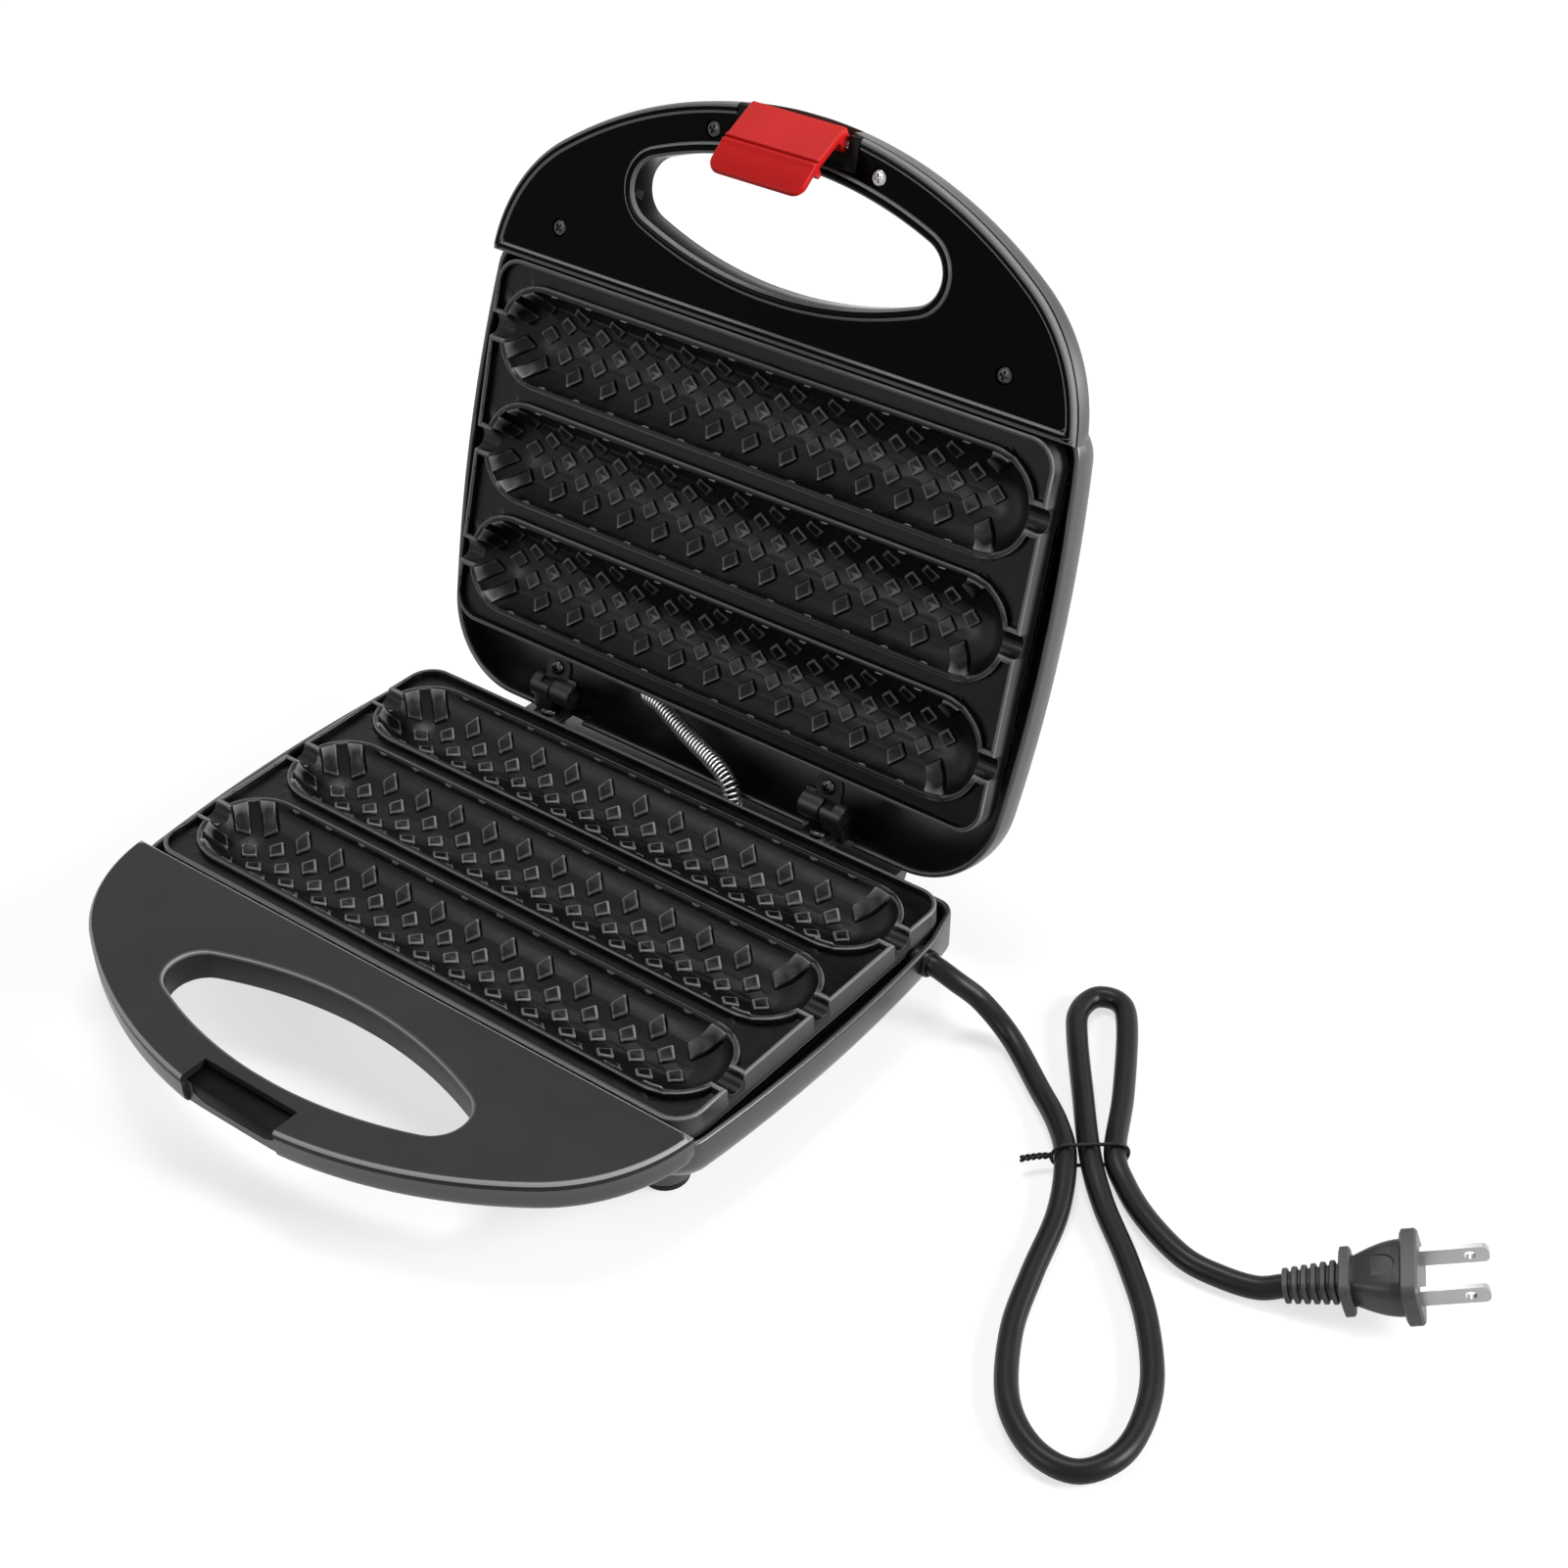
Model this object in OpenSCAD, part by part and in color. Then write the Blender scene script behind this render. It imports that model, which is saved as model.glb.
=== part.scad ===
// Corn dog maker with its lid open: two clamshell halves, three capsule cavities in each plate.
// Millimetres, +Z up, table at z = 0, +X along the hinge, +Y from the grip to the hinge.

/* [Plates] */
// Length of each cooking plate along the hinge
plate_len = 216; // [206:1:226]
// Width of each cooking plate from grip side to hinge side
plate_w = 123; // [119:1:129]
// Corner radius of the plates
plate_corner_r = 9; // [6:0.5:12]
// Thickness of the plate's raised rim
rim_t = 1.4; // [1:0.1:2]
// Depth of the flat flange below the rim
flange_drop = 2.2; // [1.5:0.1:3]
// Thickness of the flange
flange_t = 2.2; // [1.6:0.1:3]
// Depth of the plate's skirt below the rim
skirt_h = 8; // [6.5:0.5:9]
// Overall length of a cavity
cavity_len = 205.6; // [190:0.2:206]
// Width of a cavity at the parting plane
cavity_w = 30.4; // [26:0.2:31.6]
// Depth of a cavity below the parting plane
cavity_depth = 10.8; // [9:0.1:11.6]
// Distance between cavity axes
cavity_pitch = 38.5; // [37.5:0.5:39.5]
// Wall under the cavities
plate_wall = 2; // [1.5:0.1:2.4]
// Thickness of the ridge around each cavity
ridge_t = 1.8; // [1.2:0.1:2.2]
// Diameter of the stick notches
stick_d = 7.8; // [5:0.1:9]
// Gap between the two plates when closed
plate_gap = 0.4; // [0.2:0.1:0.8]

/* [Housing] */
// Gap between the plate's end and the side wall at its widest
side_gap = 7.5; // [6.5:0.1:9]
// Bow radius of the side walls
side_bow_r = 516; // [430:1:700]
// Gap between the plate's edge and the rear wall
rear_gap = 21.5; // [20.5:0.5:25]
// Corner radius at the rear
rear_corner_r = 30; // [24:1:34]
// Gap between the lower plate's edge and the wall behind it
tub_gap = 3.7; // [3:0.1:4.5]
// Width of the base's shelf under the hinges
shelf_w = 156; // [150:1:170]
// Wall thickness of the housings
wall_t = 2; // [1.6:0.1:2.4]
// Depth of each housing from the parting plane
body_depth = 28; // [27:0.5:32]
// Depth of the side wall's edge below the parting plane
rim_drop = 4.6; // [3:0.1:5.5]
// Height of the feet
foot_h = 3; // [2:0.5:6]
// Radius of the feet
foot_r = 7; // [5:0.5:8]

/* [Grip] */
// Reach of the grip beyond the plate's edge
grip_reach = 69; // [66:0.5:75]
// Radius of the grip's round ends
grip_tip_r = 54; // [48:1:58]
// Depth of the grip from the parting plane
grip_depth = 10.4; // [9.6:0.1:12]
// Thickness of the grip covers
cover_t = 2.4; // [2:0.1:2.8]
// Width of the hand hole
hole_w = 117; // [100:1:124]
// Depth of the hand hole from front to back
hole_h = 38; // [32:1:40]
// Radius at the ends of the hand hole
hole_tip_r = 10; // [8:0.5:13]
// Wall of the collar around the hand hole
collar_t = 1.6; // [1.2:0.1:2]

/* [Hinge] */
// Hinge axis behind the plate's edge
hinge_gap = 11.5; // [11:0.1:12.5]
// Hinge axis above the lower parting plane
hinge_z = 1.7; // [1.2:0.1:2.2]
// Distance between the two hinges
hinge_spacing = 112.8; // [96:0.4:130]
// Sideways shift of the hinge pair
hinge_shift = -3.6; // [-8:0.2:2]
// Radius of the knuckle rings
knuckle_r = 4.3; // [3.8:0.1:4.6]
// Length of one knuckle ring
knuckle_len = 8; // [6:0.5:9]
// Radius of the hinge pins
pin_r = 1.6; // [1.3:0.1:2]
// Running clearance around the pins
pin_clearance = 0.05; // [0.03:0.01:0.09]
// Opening angle of the lid
lid_open = 108.5; // [90:0.5:110]

/* [Latch] */
// Width of the latch
latch_w = 35; // [28:0.5:37]
// Thickness of the latch plate
latch_t = 2.2; // [1.6:0.1:2.6]
// Inward tilt of the hanging latch
latch_tilt = 43.5; // [30:0.5:50]
// Length of the finger lip below the hook
lip_len = 9; // [6:0.5:12]
// Radius of the latch pin
latch_pin_r = 1.2; // [0.9:0.1:1.4]

/* [Conduit] */
// Outside diameter of the wound conduit
conduit_d = 6; // [5:0.1:6.4]
// Diameter of the conduit's wire
conduit_wire_d = 0.7; // [0.5:0.05:0.8]
// Number of turns of the conduit
conduit_turns = 36; // [26:1:38]

/* [Cord] */
// Diameter of the power cord
cord_d = 6.5; // [5:0.1:6.6]
// Length of the plug without its blades
plug_len = 36; // [32:0.5:42]
// Distance between the blades
blade_gap = 12.7; // [12.5:0.1:13]
// Length of the blades
blade_len = 17.5; // [15:0.5:18.5]

/* [Hidden] */
$fn = 48;
parting_h = body_depth + foot_h;
half_len = plate_len / 2;
half_w = plate_w / 2;
hinge_y = half_w + hinge_gap;
grip_front = half_w + grip_reach;
grip_half = half_len + 4.5;
grip_edge_y = -half_w - 0.5;
grip_cy = grip_edge_y + 4;
grip_b = grip_front + grip_cy;
grip_front_r = (grip_half * grip_half + grip_b * grip_b - 2 * grip_half * grip_tip_r) / (2 * (grip_b - grip_tip_r));
hole_cy = -half_w - 34.5;
reach_back = (grip_front + hinge_y) * -cos(lid_open) + (grip_depth - 1 - hinge_z) * sin(lid_open);
plate_y = (grip_front - hinge_y - reach_back) / 2;

// Cavity arc through the stated width and depth
cavity_r = (cavity_w * cavity_w / 4 + cavity_depth * cavity_depth) / (2 * cavity_depth);
cavity_up = cavity_r - cavity_depth;
cavity_end = cavity_len / 2 - cavity_w / 2;
cavity_rows = [-cavity_pitch, 0, cavity_pitch];
shell_r = cavity_r + plate_wall;
seam = 0.2;

// Posts and screws that hold a plate
post_x = half_len - 11;
post_y = half_w - 7.5;
post_r = 4;
post_top = 10;
seat_top = body_depth - 7;
head_top = body_depth - 10;
screw_r = 1.5;
screw_bore_r = 1.6;

// Housing outline
body_half = half_len + side_gap;
body_front = -half_w - 6.5;
front_corner_r = 12;
rear_y = half_w + rear_gap;
bow_y = -3;
bow_x = body_half - side_bow_r;
tub_rear_y = half_w + tub_gap;
tub_corner_r = 7;
tub_half = half_len + 1.7;
tub_side_y = half_w - 13.5;
tub_side = bow_x + sqrt(pow(side_bow_r, 2) - pow(tub_side_y - bow_y, 2));
body_slices = [
    [rim_drop, 0],
    [body_depth * 0.38, 0.2],
    [body_depth * 0.56, 1.5],
    [body_depth * 0.75, 5.5],
    [body_depth * 0.91, 13],
    [body_depth, 22]
];
tray_slices = [[cover_t, 0], [grip_depth * 0.74, 0.1], [grip_depth, 2.6]];
rear_cut = (rear_y - hinge_y) * tan(lid_open / 2) - hinge_z + 1.4;

// Hinge places
hinge_xs = [hinge_shift - hinge_spacing / 2, hinge_shift + hinge_spacing / 2];
ring_gap = 0.5;
leaf_w = 12;
leaf_t = 2;
hinge_screw_len = 9;
lid_screw_len = 7;
base_leaf_z = -7;
base_screw_y = hinge_y - 4;
lid_screw_y = half_w + 3.5;
lid_leaf_d = hinge_z - plate_gap - 0.7;
bore_r = pin_r + pin_clearance;

// Cover screws of the grips
cover_screws = [
    [-31, 4 - grip_front + 7.5],
    [31, 4 - grip_front + 7.5],
    [-grip_half + 27, grip_edge_y - 13.4],
    [grip_half - 27, grip_edge_y - 13.4]
];
cover_boss_d = 6.5;

// Latch places in closed coordinates: the hook sits under the lip of the base grip
latch_pin_y = -grip_front + 5;
latch_pin_d = 1.4;
latch_face = latch_pin_y - 3;
latch_slot = latch_w / 2 + 1.2;
latch_slack = 12;
hook_d = grip_depth + 0.7;
lip_front = latch_face + 0.9;
recess_d = cover_t + 0.2;
recess_back = -grip_front + 10.8;

// Feet
foot_at = [[-94, -half_w + 7], [94, -half_w + 7], [-86, half_w - 4.5], [86, half_w - 4.5]];
foot_boss_d = body_depth;

// Heater
heater_r = 2.8;
heater_d = 9.2;
heater_y = cavity_pitch / 2;
heater_bend_x = -half_len + 23;
heater_end_x = half_len - 14;

// Lenses
lens_at = [[-12, -30], [12, -30]];
lens_r = 3;

// Conduit ends
conduit_lid = [-32, hinge_y - 6.5];
conduit_lid_d = body_depth - 7;
conduit_base = [18.2, hinge_y - 4.2];
conduit_base_z = -body_depth + 11.5;
conduit_post_r = 3.6;

// Cord exit and route in base coordinates, hand-placed on the table from the photo
cord_r = cord_d / 2;
exit_x = body_half - 2.5;
exit_y = 43;
exit_z = -9.5;
lie = cord_r - parting_h;
tied = lie + 1.15;
plug_pos = [256.5, 7, lie + 2.3];
plug_heading = 27.7;
plug_tilt = 15;
plug_roll = 8.7;
plug_axis = [cos(plug_tilt) * cos(plug_heading), cos(plug_tilt) * sin(plug_heading), sin(plug_tilt)];
cord_route = [
    [exit_x - 4, exit_y, exit_z],
    [exit_x, exit_y, exit_z],
    [exit_x + 4, exit_y, exit_z],
    [exit_x + 10, 44.5, exit_z - 3.5],
    [130, 48, lie + 8],
    [142, 46, lie + 1.5],
    [159.5, 34.5, lie],
    [173, 24.5, lie + 0.5],
    [183, 13.5, tied],
    [192.5, -4.5, lie],
    [199.5, -27, lie],
    [207, -47.5, lie],
    [219.5, -67, lie],
    [234, -76.5, lie],
    [247, -75.5, lie],
    [252.5, -62.5, lie],
    [247, -42.5, lie],
    [233.5, -23.5, lie],
    [218, -8.5, lie],
    [200.5, 6, lie],
    [187.5, 19, tied],
    [171.5, 39.5, lie],
    [156.5, 59, lie],
    [150.5, 69, lie],
    [151, 77.5, lie],
    [158, 79.5, lie],
    [165.5, 72, lie],
    [181, 46, lie],
    [192.5, 24, tied],
    [201, 16, lie],
    [213.5, 8, lie],
    [229, 2, lie],
    [241, 2, lie],
    plug_pos - 7 * plug_axis,
    plug_pos,
    plug_pos + 5 * plug_axis
];
tie_at = [187.5, 19, tied];
tie_heading = 38;

// Points along an arc
function arc(cx, cy, r, a0, a1, n) =
    [for (i = [0:n]) let (a = a0 + (a1 - a0) * i / n) [cx + r * cos(a), cy + r * sin(a)]];

// A list without its first and last points
function inner_points(p) = [for (i = [1:len(p) - 2]) p[i]];

// A right half outline closed by its mirror image
function both_sides(p) = concat(p, [for (i = [len(p) - 1:-1:0]) [-p[i][0], p[i][1]]]);

// Housing outline drawn in by an inset
function body_outline(inset) =
    let (
        rear_r = max(rear_corner_r - 0.9 * inset, 3),
        rear_cy = rear_y - inset - rear_r,
        rear_cx = bow_x + sqrt(pow(side_bow_r - inset - rear_r, 2) - pow(rear_cy - bow_y, 2)),
        rear_angle = atan2(rear_cy - bow_y, rear_cx - bow_x),
        front_r = max(front_corner_r - 0.3 * inset, 3),
        front_cy = body_front + inset + front_r,
        front_cx = bow_x + sqrt(pow(side_bow_r - inset - front_r, 2) - pow(front_cy - bow_y, 2)),
        front_angle = atan2(front_cy - bow_y, front_cx - bow_x)
    )
    both_sides(concat(
        arc(front_cx, front_cy, front_r, -90, front_angle, 3),
        inner_points(arc(bow_x, bow_y, side_bow_r - inset, front_angle, rear_angle, 5)),
        arc(rear_cx, rear_cy, rear_r, rear_angle, 90, 7)
    ));

// Outline of the base round the rear of its plate, drawn in by an inset and reaching forward to a line
function tub_outline(inset, front) =
    let (
        c = [tub_half - tub_corner_r, tub_rear_y - tub_corner_r],
        v = [tub_side, tub_side_y] - c,
        lean = atan2(v[1], v[0]) + acos(tub_corner_r / norm(v)),
        start = [tub_side, tub_side_y] - inset * [cos(lean), sin(lean)]
    )
    both_sides(concat([[start[0], front], start], arc(c[0], c[1], tub_corner_r - inset, lean, 90, 5)));

// Grip outline drawn in by an inset, with a straight edge toward the plate
function grip_outline(inset, edge) =
    let (
        tip_x = grip_half - grip_tip_r,
        front_c = grip_cy - grip_b + grip_front_r,
        meet = atan2(grip_cy - front_c, tip_x),
        first = asin((edge - grip_cy) / (grip_tip_r - inset))
    )
    both_sides(concat(
        inner_points(arc(0, front_c, grip_front_r - inset, -90, meet, 8)),
        arc(tip_x, grip_cy, grip_tip_r - inset, meet, first, 8)
    ));

// Hand hole outline grown by a margin
function hole_outline(grow) =
    let (
        a = hole_w / 2,
        b = hole_h / 2,
        side_r = (a * a + b * b - 2 * a * hole_tip_r) / (2 * (b - hole_tip_r)),
        c = -b + side_r,
        meet = atan2(-c, a - hole_tip_r)
    )
    both_sides(concat(
        inner_points(arc(0, hole_cy + c, side_r + grow, -90, meet, 8)),
        arc(a - hole_tip_r, hole_cy, hole_tip_r + grow, meet, -meet, 8),
        inner_points(arc(0, hole_cy - c, side_r + grow, -meet, 90, 8))
    ));

function unit(v) = v / norm(v);

// A point of the closed lid's frame carried to the open lid
function lid_pt(p) =
    let (dy = p[1] - hinge_y, dz = p[2] + plate_gap - hinge_z)
    [p[0], hinge_y + dy * cos(lid_open) + dz * sin(lid_open), hinge_z - dy * sin(lid_open) + dz * cos(lid_open)];

// A smooth path through the points, with a number of steps between each two
function smooth(p, steps) = concat(
    [for (i = [0:len(p) - 2], k = [0:steps - 1])
        let (
            a = p[max(i - 1, 0)], b = p[i], c = p[i + 1], d = p[min(i + 2, len(p) - 1)],
            t = k / steps
        )
        0.5 * (2 * b + (c - a) * t + (2 * a - 5 * b + 4 * c - d) * t * t + (3 * b - a - 3 * c + d) * t * t * t)],
    [p[len(p) - 1]]
);
function directions(p) = [for (i = [0:len(p) - 1]) unit(p[min(i + 1, len(p) - 1)] - p[max(i - 1, 0)])];

// Sideways directions carried along a path without twist
function carried(t, n, i = 0, out = []) =
    i == len(t) ? out : let (m = unit(n - (n * t[i]) * t[i])) carried(t, m, i + 1, concat(out, [m]));
function running(p, i = 1, out = [0]) =
    i == len(p) ? out : running(p, i + 1, concat(out, [out[i - 1] + norm(p[i] - p[i - 1])]));

module tube(p, r, sides) {
    t = directions(p);
    n = carried(t, abs(t[0][2]) > 0.8 ? [1, 0, 0] : [0, 0, 1]);
    rings = len(p);
    points = [for (i = [0:rings - 1], k = [0:sides - 1])
        let (a = 360 * k / sides) p[i] + r * (cos(a) * n[i] + sin(a) * cross(t[i], n[i]))];
    walls = [for (i = [0:rings - 2], k = [0:sides - 1], half = [0, 1])
        let (a = i * sides + k, b = i * sides + (k + 1) % sides)
        half == 0 ? [a, a + sides, b] : [b, a + sides, b + sides]];
    first = [for (k = [1:sides - 2]) [0, k, k + 1]];
    last = [for (k = [1:sides - 2]) let (o = (rings - 1) * sides) [o, o + k + 1, o + k]];
    polyhedron(points, concat(walls, first, last));
}

// A solid through stacked outlines that have the same number of points
module loft(layers) {
    n = len(layers[0][1]);
    rings = len(layers);
    points = [for (l = layers, p = l[1]) [p[0], p[1], l[0]]];
    walls = [for (i = [0:rings - 2], k = [0:n - 1], half = [0, 1])
        let (a = i * n + k, b = i * n + (k + 1) % n)
        half == 0 ? [a, a + n, b] : [b, a + n, b + n]];
    first = [for (k = [0:n - 1]) k];
    last = [for (k = [n - 1:-1:0]) (rings - 1) * n + k];
    polyhedron(points, concat(walls, [first, last]));
}

// A point given from the hinge axis
function from_hinge(x, dy, dz) = [x, hinge_y + dy, hinge_z + dz];

// Path of the conduit's axis, straight where it leaves each post
conduit_path = smooth([
    lid_pt([conduit_lid[0], conduit_lid[1], conduit_lid_d]),
    lid_pt([conduit_lid[0], conduit_lid[1], conduit_lid_d - 5]),
    from_hinge(-29, 12, 3.3),
    from_hinge(-22, 9.6, 3.6),
    from_hinge(-12, 6.2, 1.9),
    from_hinge(-4, 3.8, 0.4),
    from_hinge(4, 1.6, -0.9),
    from_hinge(11.5, -0.8, -2.5),
    from_hinge(16.2, -2.6, -5.4),
    [conduit_base[0] - 0.2, conduit_base[1] + 0.4, conduit_base_z + 7.5],
    [conduit_base[0], conduit_base[1], conduit_base_z]
], 10);
conduit_run = running(conduit_path);
conduit_len = conduit_run[len(conduit_run) - 1];
conduit_n = carried(directions(conduit_path), [1, 0, 0]);
function along(list, s) = [for (k = [0:2]) lookup(s, [for (i = [0:len(list) - 1]) [conduit_run[i], list[i][k]]])];
conduit_t = directions(conduit_path);
conduit_steps = conduit_turns * 8;
conduit_mean_r = (conduit_d - conduit_wire_d) / 2;
conduit_end = conduit_wire_d * 0.6;
conduit_wire = [for (i = [0:conduit_steps])
    let (
        s = conduit_end + (conduit_len - 2 * conduit_end) * i / conduit_steps,
        t = unit(along(conduit_t, s)),
        n = unit(along(conduit_n, s)),
        a = 45 * i
    )
    along(conduit_path, s) + conduit_mean_r * (cos(a) * n + sin(a) * cross(t, n))];
conduit_gap = min([for (i = [0:conduit_steps - 12], k = [5:11]) norm(conduit_wire[i + k] - conduit_wire[i])]) - conduit_wire_d;
echo(conduit_length = conduit_len, conduit_least_gap = conduit_gap);
cord_path = smooth(cord_route, 2);
cord_run = running(cord_path);
echo(cord_length = cord_run[len(cord_run) - 1], cord_rings = len(cord_path));

// Frames: the base, the base looking down, and the open lid looking up
module base_frame() translate([0, plate_y, parting_h]) children();
module base_down() base_frame() mirror([0, 0, 1]) children();
module lid_up() base_frame()
    translate([0, hinge_y, hinge_z]) rotate([-lid_open, 0, 0]) translate([0, -hinge_y, plate_gap - hinge_z])
        children();

module block(x0, x1, y0, y1, z0, z1) translate([x0, y0, z0]) cube([x1 - x0, y1 - y0, z1 - z0]);
module rod_x(x0, x1, y, z, r) translate([x0, y, z]) rotate([0, 90, 0]) cylinder(h = x1 - x0, r = r);
module rod_z(x, y, z0, z1, r) translate([x, y, z0]) cylinder(h = z1 - z0, r = r);

// A block with four round upright corners
module round_block(hx, hy, r, z0, z1) {
    block(-hx + r, hx - r, -hy, hy, z0, z1);
    block(-hx, hx, -hy + r, hy - r, z0, z1);
    for (sx = [-1, 1], sy = [-1, 1]) rod_z(sx * (hx - r), sy * (hy - r), z0, z1, r);
}

// One capsule along X, the round ends a hair smaller than the barrel
module capsule(y, z, end, r) {
    rod_x(-end, end, y, z, r);
    for (s = [-1, 1]) translate([s * end, y, z]) rotate([90, 0, 0]) sphere(r = r - seam);
}

module oval(y, end, r, z0, z1) {
    block(-end, end, y - r, y + r, z0, z1);
    for (s = [-1, 1]) rod_z(s * end, y, z0, z1, r);
}

// One cooking plate, depth measured along +Z
module plate() {
    flange_end = flange_drop + flange_t;
    difference() {
        union() {
            round_block(half_len, half_w, plate_corner_r, flange_drop, flange_end);
            difference() {
                round_block(half_len, half_w, plate_corner_r, 0, skirt_h);
                round_block(half_len - rim_t, half_w - rim_t, plate_corner_r - rim_t, -1, skirt_h + 1);
            }
            for (y = cavity_rows) {
                oval(y, cavity_end, cavity_w / 2 + ridge_t, 0, flange_drop + 0.5);
                intersection() {
                    capsule(y, -cavity_up, cavity_end, shell_r);
                    block(-half_len, half_len, y - shell_r, y + shell_r, flange_drop + 0.1, cavity_depth + 9);
                }
                for (s = [-1, 1]) intersection() {
                    rod_x(s < 0 ? -half_len : cavity_end, s < 0 ? -cavity_end : half_len, y, 0, stick_d / 2 + 1.6);
                    block(-half_len, half_len, y - 9, y + 9, 0, 9);
                }
            }
            for (sx = [-1, 1], sy = [-1, 1]) rod_z(sx * post_x, sy * post_y, flange_drop + 0.2, post_top, post_r);
            for (s = [-1, 1]) block(-70, 70, s * heater_y - 2, s * heater_y + 2, flange_end - 0.2, heater_d - heater_r - 0.06);
        }
        for (y = cavity_rows) {
            capsule(y, -cavity_up, cavity_end, cavity_r);
            for (s = [-1, 1])
                rod_x(s < 0 ? -half_len - 1 : cavity_end, s < 0 ? -cavity_end : half_len + 1, y, 0, stick_d / 2);
        }
        for (sx = [-1, 1], sy = [-1, 1])
            rod_z(sx * post_x, sy * post_y, flange_end + 0.4, post_top + 1, screw_bore_r);
    }
}

module plate_screw_set() {
    for (sx = [-1, 1], sy = [-1, 1]) {
        rod_z(sx * post_x, sy * post_y, flange_end_clear(), head_top + 0.1, screw_r);
        rod_z(sx * post_x, sy * post_y, head_top, head_top + 2, 2.6);
    }
}
function flange_end_clear() = flange_drop + flange_t + 1;

module heater() {
    for (s = [-1, 1]) {
        rod_x(heater_bend_x, heater_end_x, s * heater_y, heater_d, heater_r);
        rod_x(heater_end_x - 1, heater_end_x + 7, s * heater_y, heater_d, 1.2);
    }
    translate([heater_bend_x, 0, heater_d]) rotate([0, 0, 90])
        rotate_extrude(angle = 180) translate([heater_y, 0]) circle(r = heater_r);
}

module reflector() {
    difference() {
        round_block(half_len - 6, half_w - 6.2, 6, seat_top - 0.6, seat_top);
        for (sx = [-1, 1], sy = [-1, 1]) rod_z(sx * post_x, sy * post_y, 0, body_depth, post_r + 0.3);
    }
}

// Outer and inner skins of a housing half
module body_skin(inset, lift) loft([for (s = body_slices)
    [s[0] - (s[0] == rim_drop ? 3 * lift : lift), body_outline(s[1] + inset)]]);
module tray_skin(inset, lift, edge) loft([for (s = tray_slices)
    [s[0] - (s[0] == cover_t ? 3 * lift : lift), grip_outline(s[1] + inset, edge)]]);
module grip_slab(inset, z0, z1) translate([0, 0, z0]) linear_extrude(height = z1 - z0)
    polygon(grip_outline(inset, grip_edge_y));
module tub_prism(inset, front, z0, z1) translate([0, 0, z0]) linear_extrude(height = z1 - z0)
    polygon(tub_outline(inset, front));
module hole_prism(grow, z0, z1) translate([0, 0, z0]) linear_extrude(height = z1 - z0) polygon(hole_outline(grow));

module plate_posts() {
    for (sx = [-1, 1], sy = [-1, 1]) {
        rod_z(sx * post_x, sy * post_y, post_top, body_depth + 1, post_r);
        rod_z(sx * post_x, sy * post_y, seat_top, body_depth + 1, post_r + 1.6);
    }
}
module plate_post_bores() {
    for (sx = [-1, 1], sy = [-1, 1]) {
        rod_z(sx * post_x, sy * post_y, post_top - 1, body_depth + 2, screw_bore_r + 0.1);
        rod_z(sx * post_x, sy * post_y, head_top, body_depth + 2, 2.9);
    }
}

// A housing half without its openings; the children are solid inside it
module housing_half() {
    difference() {
        union() {
            body_skin(0, 0);
            tray_skin(0, 0, grip_edge_y);
        }
        difference() {
            union() {
                body_skin(wall_t, wall_t);
                tray_skin(wall_t, wall_t, grip_edge_y + 3);
            }
            union() {
                plate_posts();
                children();
            }
        }
        plate_post_bores();
        hole_prism(collar_t + 0.2, 0, grip_depth + 2);
    }
}

// The grip's share of a housing half
module grip_share() block(-grip_half - 10, grip_half + 10, -grip_front - 10, body_front - 0.5, -2, body_depth);
module base_housing() color("#3a3b3d") base_down() difference() {
    base_moulding();
    grip_share();
}
module base_grip_shell() color("#3a3b3d") base_down() intersection() {
    base_moulding();
    grip_share();
}

// Wall behind the lower plate, notched for the hinge leaves
module tub_wall() difference() {
    tub_prism(0, tub_side_y, rim_drop, body_depth + 1);
    tub_prism(wall_t, tub_side_y - 1, 0, body_depth + 2);
    for (x = hinge_xs) block(x - leaf_w / 2 - 0.3, x + leaf_w / 2 + 0.3, tub_rear_y - 4, tub_rear_y + 1, 0, -base_leaf_z + 0.1);
}

// Shelf behind that wall, with a hole for the conduit
module hinge_shelf() difference() {
    union() {
        block(-shelf_w / 2, shelf_w / 2, tub_rear_y - 1, rear_y, rear_cut, rear_cut + wall_t);
        for (s = [-1, 1]) block(s * (shelf_w - wall_t) / 2 - wall_t / 2, s * (shelf_w - wall_t) / 2 + wall_t / 2,
            tub_rear_y - 1, rear_y, rear_cut, body_depth + 1);
    }
    rod_z(conduit_base[0], conduit_base[1], 0, rear_cut + wall_t + 1, conduit_d / 2 + 0.4);
}

// What the base leaves out behind its plate
module rear_relief() difference() {
    block(-body_half - 5, body_half + 5, tub_side_y, rear_y + 5, 0, body_depth + 1);
    tub_prism(0, tub_side_y - 1, -1, body_depth + 2);
    block(-shelf_w / 2, shelf_w / 2, tub_rear_y - 1, rear_y + 6, rear_cut, body_depth + 2);
}

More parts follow.
